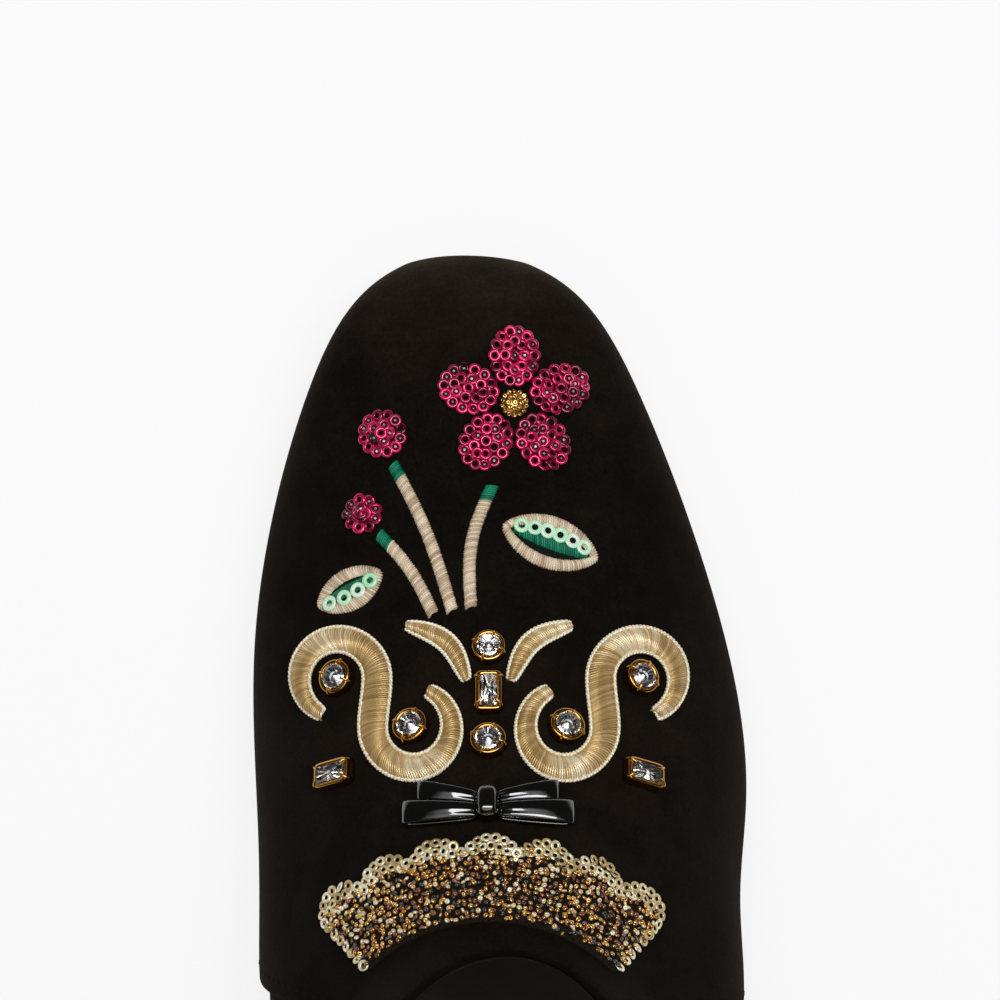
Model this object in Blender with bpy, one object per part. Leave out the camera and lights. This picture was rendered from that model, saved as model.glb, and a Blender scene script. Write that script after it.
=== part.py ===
"""Right ankle boot of black suede with an ornamented vamp, standing empty on its sole.

Lengths are in millimetres and place() turns them into metres. A point of the boot is given by
across (lateral side positive), from_toe (distance behind the toe tip) and height above the floor.
"""

import math

import bmesh
import bpy
import numpy as np
from mathutils import Vector
from mathutils.bvhtree import BVHTree

MM = 0.001

# Main sizes of the boot
LENGTH = 252.0
FRAME_CENTRE = 125.28
SEAT_GAP = 0.3
SOLE_THICKNESS = 4.5
TOE_SPRING = 8.5
SPRING_START = 58.0
HEEL_RISE = 18.0
RISE_START = 94.0
RISE_END = 206.0
FEATHER_TIP = 2.0
FEATHER_BACK = 249.6

# Upper
VAMP_WALL = 3.0
LAP_STEP = 1.7
COLLAR_BACK_HEIGHT = 122.0
COLLAR_HALF_WIDTH = 33.5
COLLAR_ARCH = 9.0
TOE_ACROSS = -6.7
THROAT_ACROSS = 1.5
HEEL_ACROSS = -1.8

# Widest outline of the upper seen from above, and how far the sole's edge tucks in under it
OUTLINE_COLUMNS = ("from_toe", "medial", "lateral", "medial_tuck", "lateral_tuck")
OUTLINE = (
    (0.0, -6.7, -6.7, 2.0, 2.0),
    (2.2, -18.0, 6.0, 2.0, 2.0),
    (8.2, -26.3, 15.1, 2.0, 2.0),
    (26.5, -35.8, 26.1, 2.2, 2.2),
    (55.8, -43.3, 37.2, 2.4, 2.4),
    (72.0, -45.1, 41.8, 2.8, 2.6),
    (100.0, -44.6, 45.1, 4.0, 3.0),
    (118.0, -43.9, 43.9, 6.5, 3.9),
    (133.0, -43.8, 44.5, 9.4, 5.7),
    (165.0, -38.8, 39.0, 12.0, 6.5),
    (200.0, -35.6, 33.4, 3.6, 3.0),
    (225.0, -33.6, 30.0, 2.4, 2.4),
    (243.0, -22.8, 19.2, 2.2, 2.2),
    (252.0, -1.8, -1.8, 2.0, 2.0),
)

# Top line of the side view, from the toe's nose up to the throat: from_toe, height
RIDGE = (
    (0.0, 19.0),
    (2.6, 25.4),
    (9.0, 29.4),
    (22.0, 33.0),
    (45.0, 38.0),
    (70.0, 46.5),
    (95.0, 60.5),
    (122.5, 81.0),
)

# Back line of the side view, from the heel seat up to the collar
BACK_COLUMNS = ("height", "from_toe")
BACK = (
    (22.8, 249.6),
    (38.0, 252.0),
    (60.0, 250.4),
    (85.0, 246.4),
    (105.0, 243.4),
    (122.0, 242.6),
)

# Girth sections, from the toe tip (share 0) over the heel seat to the back of the collar (share 1):
# length along the ridge where the section ends, level of its widest point, roundness of its crest
GIRTH_COLUMNS = ("share", "ridge_share", "widest_level", "crest_power")
GIRTH = (
    (0.00, 0.000, 0.40, 2.4),
    (0.045, 0.066, 0.38, 2.4),
    (0.09, 0.140, 0.36, 2.3),
    (0.18, 0.320, 0.32, 2.15),
    (0.36, 0.645, 0.28, 2.1),
    (0.54, 0.825, 0.29, 2.7),
    (0.72, 0.918, 0.29, 2.8),
    (1.00, 1.000, 0.43, 2.15),
)
HEEL_SHARE = 0.72
BACK_POWER = 2.6
ANKLE_LOW = 34.0
ANKLE_HIGH = 100.0
HEEL_SIDE_START = 200.0
HEEL_SIDE_REACH = 22.0

# Side seam where the vamp laps over the quarters, as a plane seen edge-on from the side
SEAM_LOW = (132.0, 9.0)
SEAM_HIGH = (142.4, 111.0)
SEAM_SKEW = 0.06

# Ornaments: places are given as across and from_toe, a rise is the height above the suede,
# and narrow is the share of a band's width that is left at its ends
ORNAMENT_AXIS = -2.0
BLOSSOM_CENTRE = (2.5, 27.5)
PETAL_COUNT = 5
PETAL_START = 54.0
PETAL_DISTANCE = 8.6
PETAL_LENGTH = 10.6
PETAL_WIDTH = 8.8
PETAL_RISE = 1.2
HEART_SIZE = 5.0
HEART_RISE = 1.8

# Buds: across, from_toe, size
BUDS = (
    (-21.0, 33.0, 8.4),
    (-24.5, 47.5, 6.8),
)
BUD_RISE = 1.4
STEMS = (
    ((-1.5, 42.5), (-5.0, 52.0), (-5.2, 64.0)),
    ((-19.2, 38.6), (-13.5, 50.0), (-8.6, 64.6)),
    ((-21.6, 51.2), (-16.5, 57.0), (-12.0, 65.2)),
)
STEM_WIDTH = 1.9
STEM_NARROW = 0.8
STEM_RISE = 0.9

# Leaves: across, from_toe, length, width, turn
LEAVES = (
    (9.0, 52.5, 18.0, 8.4, 20.0),
    (-27.0, 61.0, 13.0, 6.4, 150.0),
)
LEAF_RISE = 1.0
SCROLL_INNER_EYE = (13.5, 85.5)
SCROLL_OUTER_EYE = (26.8, 77.0)
SCROLL_RADIUS = 7.0
SCROLL_WRAP = 250.0
SCROLL_WIDTH = 5.4
SCROLL_NARROW = 0.45
SCROLL_RISE = 1.6
LEAFLET = ((4.0, 77.0), (7.5, 70.5), (14.5, 67.5))
LEAFLET_WIDTH = 3.6
LEAFLET_NARROW = 0.4
LEAFLET_RISE = 1.3

# Stones: offset from the ornament axis, from_toe, half size across, half size along, sides
STONES = (
    (0.0, 71.5, 2.1, 2.1, 8),
    (0.0, 79.5, 1.5, 3.0, 4),
    (0.0, 88.0, 2.3, 2.3, 8),
    (13.5, 85.5, 2.3, 2.3, 8),
    (-13.5, 85.5, 2.3, 2.3, 8),
    (26.8, 77.0, 2.3, 2.3, 8),
    (-26.8, 77.0, 2.3, 2.3, 8),
    (27.0, 94.0, 3.0, 1.5, 4),
    (-27.0, 94.0, 3.0, 1.5, 4),
)
CUP_WALL = 0.6
CUP_HEIGHT = 1.9
STONE_GAP = 0.3
BOW_FROM_TOE = 99.5

# Bow loops: side, tier, length, width
LOOPS = (
    (-1, -2.5, 12.2, 4.4),
    (1, -2.5, 12.2, 4.4),
    (-1, 2.2, 9.8, 3.8),
    (1, 2.2, 9.8, 3.8),
)
LOOP_THICKNESS = 2.8
LOOP_WALL = 0.8
LOOP_LIFT = 1.9
LOOP_PERK = 0.7
LOOP_PINCH = 0.55
KNOT_SIZE = (4.0, 6.2, 4.6)
FAN_CENTRE = (-1.5, 147.8)
FAN_INNER = 29.5
FAN_OUTER = 44.0
FAN_SCALLOP = 3.2
FAN_LOBES = 7
FAN_HALF_ANGLE = 46.0
FAN_RISE = 1.7
FAN_EDGE_RISE = 0.7

# Mesh counts
SOLE_SECTIONS = 32
BACK_SECTIONS = 8
LOW_STEPS = 6
HIGH_STEPS = 8


def column(table, columns, name):
    """One named column of a table."""
    return np.array([row[columns.index(name)] for row in table])


def spline(knots, values, at):
    """Natural cubic spline through the given values."""
    knots = np.asarray(knots, float)
    values = np.asarray(values, float)
    count = len(knots)
    step = np.diff(knots)
    matrix = np.eye(count)
    right = np.zeros(count)
    for i in range(1, count - 1):
        matrix[i, i - 1] = step[i - 1]
        matrix[i, i] = 2 * (step[i - 1] + step[i])
        matrix[i, i + 1] = step[i]
        rise_after = (values[i + 1] - values[i]) / step[i]
        rise_before = (values[i] - values[i - 1]) / step[i - 1]
        right[i] = 6 * (rise_after - rise_before)
    bend = np.linalg.solve(matrix, right)
    at = np.clip(np.asarray(at, float), knots[0], knots[-1])
    i = np.clip(np.searchsorted(knots, at) - 1, 0, count - 2)
    left = knots[i + 1] - at
    passed = at - knots[i]
    width = step[i]
    cubic = (bend[i] * left**3 + bend[i + 1] * passed**3) / (6 * width)
    linear_left = (values[i] / width - bend[i] * width / 6) * left
    linear_passed = (values[i + 1] / width - bend[i + 1] * width / 6) * passed
    return cubic + linear_left + linear_passed


def ease(value):
    """Smooth step from 0 to 1."""
    value = min(max(value, 0.0), 1.0)
    return value * value * (3 - 2 * value)


def place(across, from_toe, height):
    """A point of the boot in metres, toe towards +Y."""
    return Vector((across * MM, (FRAME_CENTRE - from_toe) * MM, height * MM))


def loop_angle(travelled, whole):
    """Angle that runs from 0 at the toe to pi at the heel, so that both ends come out round."""
    return math.acos(min(max(1 - 2 * travelled / whole, -1.0), 1.0))


OUTLINE_ANGLES = [loop_angle(row[0], LENGTH) for row in OUTLINE]


def outline_at(angle, side):
    """Widest reach of the upper on one side, at a loop angle."""
    return float(spline(OUTLINE_ANGLES, column(OUTLINE, OUTLINE_COLUMNS, side), angle))


def feather_at(from_toe, side, inset=0.0):
    """The line where upper and sole meet, on one side."""
    tip = FEATHER_TIP + inset
    back = FEATHER_BACK - inset
    angle = loop_angle(from_toe - tip, back - tip)
    tuck = float(np.interp(angle, OUTLINE_ANGLES, column(OUTLINE, OUTLINE_COLUMNS, side + "_tuck")))
    inward = 1.0 if side == "medial" else -1.0
    return outline_at(angle, side) + inward * (tuck + inset) * min(1.0, 1.5 * math.sin(angle))


def sole_top(from_toe):
    """Height of the outsole's upper face."""
    spring = TOE_SPRING * max(0.0, 1 - from_toe / SPRING_START) ** 2
    rise = HEEL_RISE * ease((from_toe - RISE_START) / (RISE_END - RISE_START))
    return SOLE_THICKNESS + spring + rise


def feather_height(from_toe):
    """Height of the upper's lower edge, seated on the outsole."""
    return sole_top(from_toe) + SEAT_GAP


RIDGE_POINTS = np.array([(FEATHER_TIP, feather_height(FEATHER_TIP))] + list(RIDGE))
RIDGE_TRAVEL = np.concatenate([[0.0], np.cumsum(np.hypot(*np.diff(RIDGE_POINTS, axis=0).T))])
GIRTH_SHARES = column(GIRTH, GIRTH_COLUMNS, "share")


def ridge_raw(travel):
    """Side-view point on the ridge at a length along it."""
    return np.array([float(spline(RIDGE_TRAVEL, RIDGE_POINTS[:, k], travel)) for k in (0, 1)])


def ridge_at(travel, inset):
    """Side-view point on the ridge, moved inward by the inset."""
    step = 0.2
    ahead = ridge_raw(min(travel + step, RIDGE_TRAVEL[-1]))
    behind = ridge_raw(max(travel - step, 0.0))
    along = (ahead - behind) / np.linalg.norm(ahead - behind)
    inward = np.array([along[1], -along[0]])
    return ridge_raw(travel) + inset * inward


def girth_at(share, name):
    """A column of the girth table at a share of the way from toe to collar."""
    return float(spline(GIRTH_SHARES, column(GIRTH, GIRTH_COLUMNS, name), share))


def back_at(height):
    """Distance of the back line from the toe at a height."""
    return float(spline(column(BACK, BACK_COLUMNS, "height"), column(BACK, BACK_COLUMNS, "from_toe"), height))


def up_back_at(share):
    """How far up the back seam a section starts, 0 for one that starts on the sole."""
    return 1 - math.cos(math.pi / 2 * max(0.0, share - HEEL_SHARE) / (1 - HEEL_SHARE))


def base_point(share, inset):
    """Side-view point where a section starts: on the feather line, or on the back seam."""
    if share <= HEEL_SHARE:
        passed = (1 - math.cos(math.pi * share / HEEL_SHARE)) / 2
        tip = FEATHER_TIP + inset
        from_toe = tip + passed * (FEATHER_BACK - inset - tip)
        return np.array([from_toe, feather_height(from_toe)])
    low = feather_height(FEATHER_BACK)
    height = low + (COLLAR_BACK_HEIGHT - low) * up_back_at(share)
    return np.array([back_at(height) - inset, height])


def widest_at(from_toe, height, side, inset):
    """Reach of one side of the upper: the outline from above, drawn in to the collar's width higher up."""
    inward = 1.0 if side == "medial" else -1.0
    past = max(0.0, from_toe - HEEL_SIDE_START)
    from_toe = min(from_toe, HEEL_SIDE_START) + HEEL_SIDE_REACH * (1 - math.exp(-past / HEEL_SIDE_REACH))
    low = outline_at(loop_angle(from_toe, LENGTH), side)
    high = -inward * COLLAR_HALF_WIDTH
    return low + (high - low) * ease((height - ANKLE_LOW) / (ANKLE_HIGH - ANKLE_LOW)) + inward * inset


def half_section(share, side, inset, low_steps, high_steps):
    """Points of one side of a girth section, from the base up to the ridge."""
    base = base_point(share, inset)
    ridge_share = girth_at(share, "ridge_share")
    ridge = ridge_at(ridge_share * RIDGE_TRAVEL[-1], inset)
    level = girth_at(share, "widest_level")
    power = girth_at(share, "crest_power")
    start = feather_at(base[0], side, inset) if share < HEEL_SHARE else HEEL_ACROSS
    crest = TOE_ACROSS + (THROAT_ACROSS - TOE_ACROSS) * ease(ridge_share)
    arch = COLLAR_ARCH * ease((share - HEEL_SHARE) / (1 - HEEL_SHARE))
    points = []
    for i in range(low_steps + high_steps + 1):
        if i < low_steps:
            angle = math.pi / 2 * i / low_steps
            up = level * (1 - math.cos(angle) ** (2 / BACK_POWER))
            widest = widest_at(*(base + up * (ridge - base)), side, inset)
            across = start + (widest - start) * math.sin(angle)
        else:
            angle = math.pi / 2 * (i - low_steps) / high_steps
            up = level + (1 - level) * math.sin(angle) ** (2 / power)
            widest = widest_at(*(base + up * (ridge - base)), side, inset)
            across = crest + (widest - crest) * math.cos(angle)
        from_toe, height = base + up * (ridge - base)
        points.append((across, from_toe, height + arch * math.sin(math.pi * up)))
    return points


def section_shares(sole_sections, back_sections):
    """Shares of the sections from just behind the toe tip to the collar."""
    on_sole = [HEEL_SHARE * i / sole_sections for i in range(1, sole_sections)]
    up_back = [HEEL_SHARE + (1 - HEEL_SHARE) * i / back_sections for i in range(back_sections + 1)]
    return on_sole + up_back


def girth_sections(inset, sole_sections, back_sections, low_steps, high_steps):
    """Sections of the upper from toe to collar, each from medial base over the ridge to lateral base."""
    sections = []
    for share in section_shares(sole_sections, back_sections):
        medial = half_section(share, "medial", inset, low_steps, high_steps)
        lateral = half_section(share, "lateral", inset, low_steps, high_steps)
        sections.append(medial + lateral[-2::-1])
    return sections


def tip_point(inset):
    """The foremost point of the feather line."""
    from_toe = FEATHER_TIP + inset
    return (TOE_ACROSS, from_toe, feather_height(from_toe))


def make_material(name, colour, roughness, metallic=0.0):
    """A plain Principled material."""
    material = bpy.data.materials.new(name)
    material.use_nodes = True
    shader = material.node_tree.nodes["Principled BSDF"]
    shader.inputs["Base Color"].default_value = (*colour, 1.0)
    shader.inputs["Roughness"].default_value = roughness
    shader.inputs["Metallic"].default_value = metallic
    return material


def make_object(name, points, faces, material):
    """A closed mesh object from points in metres."""
    shape = bmesh.new()
    corners = [shape.verts.new(point) for point in points]
    for face in faces:
        distinct = list(dict.fromkeys(face))
        if len(distinct) > 2:
            shape.faces.new([corners[i] for i in distinct])
    bmesh.ops.remove_doubles(shape, verts=shape.verts, dist=1e-6)
    bmesh.ops.dissolve_degenerate(shape, edges=shape.edges, dist=1e-7)
    bmesh.ops.triangulate(shape, faces=shape.faces)
    bmesh.ops.recalc_face_normals(shape, faces=shape.faces)
    mesh = bpy.data.meshes.new(name)
    shape.to_mesh(mesh)
    shape.free()
    item = bpy.data.objects.new(name, mesh)
    item.data.materials.append(material)
    bpy.context.scene.collection.objects.link(item)
    return item


def hide_helper(item):
    """Keeps a cutter out of the finished part."""
    item.hide_render = True
    item.display_type = "WIRE"


def cut_away(item, cutter):
    """Takes the cutter's volume away from an object."""
    modifier = item.modifiers.new("cut_" + cutter.name, "BOOLEAN")
    modifier.operation = "DIFFERENCE"
    modifier.solver = "EXACT"
    modifier.object = cutter


def strip_faces(first, second):
    """Quads between two rows of point numbers."""
    return list(zip(first, first[1:], second[1:], second))


def shell_mesh():
    """Points and faces of the hollow upper before the side seam is cut."""
    points = []
    faces = []
    grids = []
    tips = []
    for inset in (0.0, VAMP_WALL):
        tips.append(len(points))
        points.append(place(*tip_point(inset)))
        grid = []
        for section in girth_sections(inset, SOLE_SECTIONS, BACK_SECTIONS, LOW_STEPS, HIGH_STEPS):
            grid.append(list(range(len(points), len(points) + len(section))))
            points.extend(place(*point) for point in section)
        faces.extend((tips[-1], a, b) for a, b in zip(grid[0], grid[0][1:]))
        for one, two in zip(grid, grid[1:]):
            faces.extend(strip_faces(one, two))
        grids.append(grid)
    outer, inner = grids
    for end in (0, -1):
        outer_edge = [tips[0]] + [row[end] for row in outer[:SOLE_SECTIONS]]
        inner_edge = [tips[1]] + [row[end] for row in inner[:SOLE_SECTIONS]]
        faces.extend(strip_faces(outer_edge, inner_edge))
    faces.extend(strip_faces(outer[-1], inner[-1]))
    return points, faces


def quarter_form(material):
    """Filled form of the quarters' outer face, reaching past the collar and below the sole line."""
    below = 14.0
    above = 16.0
    tip = tip_point(LAP_STEP)
    sections = girth_sections(LAP_STEP, SOLE_SECTIONS, BACK_SECTIONS, LOW_STEPS, HIGH_STEPS)
    points = [place(*tip), place(tip[0], tip[1], tip[2] - below)]
    faces = []
    grid = []
    lower = {0: [1], -1: [1]}
    for number, section in enumerate(sections):
        grid.append(list(range(len(points), len(points) + len(section))))
        points.extend(place(*point) for point in section)
        if number < SOLE_SECTIONS:
            for end in (0, -1):
                across, from_toe, height = section[end]
                lower[end].append(len(points))
                points.append(place(across, from_toe, height - below))
    faces.extend((0, a, b) for a, b in zip(grid[0], grid[0][1:]))
    for one, two in zip(grid, grid[1:]):
        faces.extend(strip_faces(one, two))
    for end in (0, -1):
        faces.extend(strip_faces([0] + [row[end] for row in grid[:SOLE_SECTIONS]], lower[end]))
    faces.extend(strip_faces(lower[0], lower[-1]))
    raised = list(range(len(points), len(points) + len(sections[-1])))
    points.extend(place(across, from_toe, height + above) for across, from_toe, height in sections[-1])
    faces.extend(strip_faces(grid[-1], raised))
    middle = len(raised) // 2
    faces.extend(strip_faces(raised[: middle + 1], raised[: middle - 1 : -1]))
    return make_object("quarter_form", points, faces, material)


def seam_block(material):
    """Block that holds everything behind the side seam."""
    reach = 80.0
    back = LENGTH + 60.0
    slope = (SEAM_HIGH[0] - SEAM_LOW[0]) / (SEAM_HIGH[1] - SEAM_LOW[1])
    points = []
    for height in (-40.0, 200.0):
        seam = SEAM_LOW[0] + slope * (height - SEAM_LOW[1])
        for across in (-reach, reach):
            points.append(place(across, seam + SEAM_SKEW * across, height))
            points.append(place(across, back, height))
    faces = [(0, 1, 3, 2), (4, 5, 7, 6), (0, 1, 5, 4), (2, 3, 7, 6), (0, 2, 6, 4), (1, 3, 7, 5)]
    return make_object("seam_block", points, faces, material)


def make_upper(suede):
    """Hollow upper whose vamp laps over the quarters at the side seam."""
    points, faces = shell_mesh()
    upper = make_object("upper", points, faces, suede)
    quarters = quarter_form(suede)
    block = seam_block(suede)
    hide_helper(quarters)
    hide_helper(block)
    cut_away(block, quarters)
    cut_away(upper, block)
    return upper


def plate_mesh(stations, levels, cap_start):
    """A plate along the foot; each level is a pair of edge function and height function."""
    points = []
    faces = []
    rings = []
    for from_toe in stations:
        medial = [place(edge(from_toe, "medial"), from_toe, height(from_toe)) for edge, height in levels]
        lateral = [place(edge(from_toe, "lateral"), from_toe, height(from_toe)) for edge, height in levels]
        ring = medial + lateral[::-1]
        rings.append(list(range(len(points), len(points) + len(ring))))
        points.extend(ring)
    for one, two in zip(rings, rings[1:]):
        faces.extend(strip_faces(one + one[:1], two + two[:1]))
    if cap_start:
        faces.append(tuple(rings[0]))
    return points, faces


def loop_stations(first, last, count):
    """Distances from the toe, close together at both ends."""
    return [first + (last - first) * (1 - math.cos(math.pi * i / count)) / 2 for i in range(count + 1)]


def sole_edge(margin):
    """Edge function of the sole: the feather line moved outward by a margin."""
    return lambda from_toe, side: feather_at(from_toe, side, -margin)


def make_outsole(rubber):
    """Thin outsole with toe spring, arch and heel seat."""
    margin = 0.9
    bottom_inset = 1.3
    levels = (
        (sole_edge(margin - 0.5), sole_top),
        (sole_edge(margin), lambda d: sole_top(d) - 0.8),
        (sole_edge(margin - 0.1), lambda d: sole_top(d) - SOLE_THICKNESS + 1.2),
        (sole_edge(margin - bottom_inset), lambda d: sole_top(d) - SOLE_THICKNESS),
    )
    stations = loop_stations(FEATHER_TIP - margin + bottom_inset, FEATHER_BACK + margin - bottom_inset, 34)
    stations = [FEATHER_TIP - margin] + stations + [FEATHER_BACK + margin]
    points, faces = plate_mesh(stations, levels, False)
    return make_object("outsole", points, faces, rubber)


def make_heel(rubber):
    """Low heel block with a flat tread, tapering towards the floor."""
    breast = 188.0
    back = FEATHER_BACK - 0.6
    margin = 0.2
    taper = 1.8
    lean = 3.0
    count = 14
    points = []
    faces = []
    rings = []
    for i in range(count + 1):
        from_toe = breast + (back - breast) * math.sin(math.pi / 2 * i / count)
        ring = []
        for side in ("medial", "lateral"):
            inward = 1.0 if side == "medial" else -1.0
            top = feather_at(from_toe, side, -margin)
            narrow = inward * taper * min(1.0, 1.5 * math.sin(loop_angle(from_toe, LENGTH)))
            shift = lean * (from_toe - breast) / (back - breast)
            upper_point = place(top, from_toe, sole_top(from_toe) - SOLE_THICKNESS - SEAT_GAP)
            lower_point = place(top + narrow, from_toe - shift, 0.0)
            ring.extend([upper_point, lower_point] if side == "medial" else [lower_point, upper_point])
        rings.append(list(range(len(points), len(points) + 4)))
        points.extend(ring)
    for one, two in zip(rings, rings[1:]):
        faces.extend(strip_faces(one + one[:1], two + two[:1]))
    faces.append(tuple(rings[0]))
    faces.append(tuple(rings[-1]))
    return make_object("heel", points, faces, rubber)


def make_insole(lining):
    """Footbed that fills the upper's lower opening."""
    thickness = 3.5
    edge_gap = 0.8
    tip = FEATHER_TIP + VAMP_WALL + edge_gap
    back = FEATHER_BACK - VAMP_WALL - edge_gap
    levels = (
        (lambda d, side: feather_at(d, side, VAMP_WALL + edge_gap), lambda d: feather_height(d) + thickness),
        (lambda d, side: feather_at(d, side, VAMP_WALL + edge_gap), feather_height),
    )
    points, faces = plate_mesh(loop_stations(tip, back, 30), levels, False)
    return make_object("insole", points, faces, lining)


def vamp_tree(upper):
    """Search tree of the upper's faces, for seating the ornaments."""
    corners = [corner.co for corner in upper.data.vertices]
    return BVHTree.FromPolygons(corners, [face.vertices for face in upper.data.polygons])


def drop(tree, across, from_toe):
    """Point and outward direction of the suede straight below a place seen from above."""
    hit, normal, _, _ = tree.ray_cast(place(across, from_toe, 400.0), Vector((0.0, 0.0, -1.0)))
    return hit, normal if normal.z > 0 else -normal


def raised_patch(name, tree, grid, rise, material):
    """Solid that follows the suede under a grid of places; rise is a grid of heights."""
    lower = []
    higher = []
    for row, heights in zip(grid, rise):
        for (across, from_toe), height in zip(row, heights):
            hit, normal = drop(tree, across, from_toe)
            lower.append(hit + normal * SEAT_GAP * MM)
            higher.append(hit + normal * (SEAT_GAP + height) * MM)
    rows = len(grid)
    columns = len(grid[0])
    top = [[r * columns + c for c in range(columns)] for r in range(rows)]
    bottom = [[rows * columns + number for number in row] for row in top]
    faces = []
    for layer in (top, bottom):
        for one, two in zip(layer, layer[1:]):
            faces.extend(strip_faces(one, two))
    for end in (0, -1):
        faces.extend(strip_faces(top[end], bottom[end]))
    for end in (0, -1):
        faces.extend(strip_faces([row[end] for row in top], [row[end] for row in bottom]))
    return make_object(name, higher + lower, faces, material)


def make_disc(name, tree, centre, length, width, turn, rise, material):
    """Rounded oval patch; turn is the angle of its long axis from the across direction."""
    count = 4
    grid = []
    heights = []
    for i in range(count + 1):
        row = []
        row_heights = []
        for j in range(count + 1):
            u = 2 * i / count - 1
            v = 2 * j / count - 1
            along = u * math.sqrt(1 - v * v / 2) * length / 2
            aside = v * math.sqrt(1 - u * u / 2) * width / 2
            cosine = math.cos(math.radians(turn))
            sine = math.sin(math.radians(turn))
            row.append((centre[0] + along * cosine - aside * sine, centre[1] + along * sine + aside * cosine))
            row_heights.append(rise * (0.4 + 0.6 * (1 - max(abs(u), abs(v)) ** 2)))
        grid.append(row)
        heights.append(row_heights)
    return raised_patch(name, tree, grid, heights, material)


def spread_path(points, count):
    """Evenly spread places along a smooth line through the given ones."""
    points = np.array(points, float)
    travel = np.concatenate([[0.0], np.cumsum(np.hypot(*np.diff(points, axis=0).T))])
    fine = np.linspace(0.0, travel[-1], count)
    return np.stack([spline(travel, points[:, 0], fine), spline(travel, points[:, 1], fine)], axis=1)


def make_ribbon(name, tree, path, width, narrow, rise, material):
    """Raised band along a path; narrow is the share of the width left at both ends."""
    across_steps = 4
    heading = np.gradient(path, axis=0)
    heading /= np.linalg.norm(heading, axis=1)[:, None]
    grid = []
    heights = []
    for i, (place_here, ahead) in enumerate(zip(path, heading)):
        share = i / (len(path) - 1)
        half = width / 2 * (narrow + (1 - narrow) * math.sin(math.pi * share) ** 0.7)
        aside = np.array([-ahead[1], ahead[0]])
        row = []
        row_heights = []
        for j in range(across_steps + 1):
            offset = 2 * j / across_steps - 1
            row.append(tuple(place_here + aside * offset * half))
            row_heights.append(rise * (0.3 + 0.7 * (1 - offset * offset)))
        grid.append(row)
        heights.append(row_heights)
    return raised_patch(name, tree, grid, heights, material)


def make_blossom(tree, sequin, heart, thread, leaf):
    """Flower of five petals with buds, stems and leaves on the toe."""
    for number in range(PETAL_COUNT):
        turn = 360.0 * number / PETAL_COUNT + PETAL_START
        across = BLOSSOM_CENTRE[0] + PETAL_DISTANCE * math.cos(math.radians(turn))
        from_toe = BLOSSOM_CENTRE[1] + PETAL_DISTANCE * math.sin(math.radians(turn))
        name = "blossom_petal_%d" % (number + 1)
        make_disc(name, tree, (across, from_toe), PETAL_LENGTH, PETAL_WIDTH, turn, PETAL_RISE, sequin)
    make_disc("blossom_heart", tree, BLOSSOM_CENTRE, HEART_SIZE, HEART_SIZE, 0.0, HEART_RISE, heart)
    for number, (across, from_toe, size) in enumerate(BUDS):
        make_disc("bud_%d" % (number + 1), tree, (across, from_toe), size, size, 0.0, BUD_RISE, sequin)
    for number, points in enumerate(STEMS):
        path = spread_path(points, 9)
        make_ribbon("stem_%d" % (number + 1), tree, path, STEM_WIDTH, STEM_NARROW, STEM_RISE, thread)
    for number, (across, from_toe, length, width, turn) in enumerate(LEAVES):
        make_disc("leaf_%d" % (number + 1), tree, (across, from_toe), length, width, turn, LEAF_RISE, leaf)


def scroll_path(count):
    """S-shaped scroll round two eyes, as offsets from the ornament axis."""
    inner = np.array(SCROLL_INNER_EYE)
    outer = np.array(SCROLL_OUTER_EYE)
    apart = outer - inner
    lean = math.acos(2 * SCROLL_RADIUS / np.linalg.norm(apart))
    touch = math.atan2(apart[1], apart[0]) + lean
    wrap = math.radians(SCROLL_WRAP)
    turns = 14
    points = []
    for i in range(turns + 1):
        angle = touch + wrap * (1 - i / turns)
        points.append(inner + SCROLL_RADIUS * np.array([math.cos(angle), math.sin(angle)]))
    for i in range(turns + 1):
        angle = touch + math.pi + wrap * i / turns
        points.append(outer + SCROLL_RADIUS * np.array([math.cos(angle), math.sin(angle)]))
    return spread_path(points, count)


def make_scrolls(tree, thread):
    """Raised scrolls and leaflets, mirrored about the ornament axis."""
    for name, flip in (("lateral", 1.0), ("medial", -1.0)):
        turn = np.array([flip, 1.0])
        axis = np.array([ORNAMENT_AXIS, 0.0])
        path = scroll_path(36) * turn + axis
        make_ribbon("scroll_" + name, tree, path, SCROLL_WIDTH, SCROLL_NARROW, SCROLL_RISE, thread)
        path = spread_path(LEAFLET, 8) * turn + axis
        make_ribbon("leaflet_" + name, tree, path, LEAFLET_WIDTH, LEAFLET_NARROW, LEAFLET_RISE, thread)


def seat_frame(tree, across, from_toe):
    """Seat point with its across, forward and outward directions on the suede."""
    hit, outward = drop(tree, across, from_toe)
    sideways = Vector((1.0, 0.0, 0.0))
    sideways = (sideways - outward * sideways.dot(outward)).normalized()
    forward = outward.cross(sideways)
    return hit, sideways, forward, outward


def ring_stack(name, seat, rings, sides, half_across, half_along, material):
    """Solid of stacked outlines; each ring is a growth of the outline and a height."""
    hit, sideways, forward, outward = seat
    points = []
    for grow, height in rings:
        for i in range(sides):
            angle = 2 * math.pi * (i + 0.5) / sides
            stretch = math.sqrt(2.0) if sides == 4 else 1.0
            aside = max(half_across + grow, 0.02) * math.cos(angle) * stretch
            ahead = max(half_along + grow, 0.02) * math.sin(angle) * stretch
            points.append(hit + (sideways * aside + forward * ahead + outward * height) * MM)
    rows = [[r * sides + i for i in range(sides)] for r in range(len(rings))]
    faces = [tuple(rows[0]), tuple(rows[-1])]
    for one, two in zip(rows, rows[1:]):
        faces.extend(strip_faces(one + one[:1], two + two[:1]))
    return make_object(name, points, faces, material)


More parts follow.
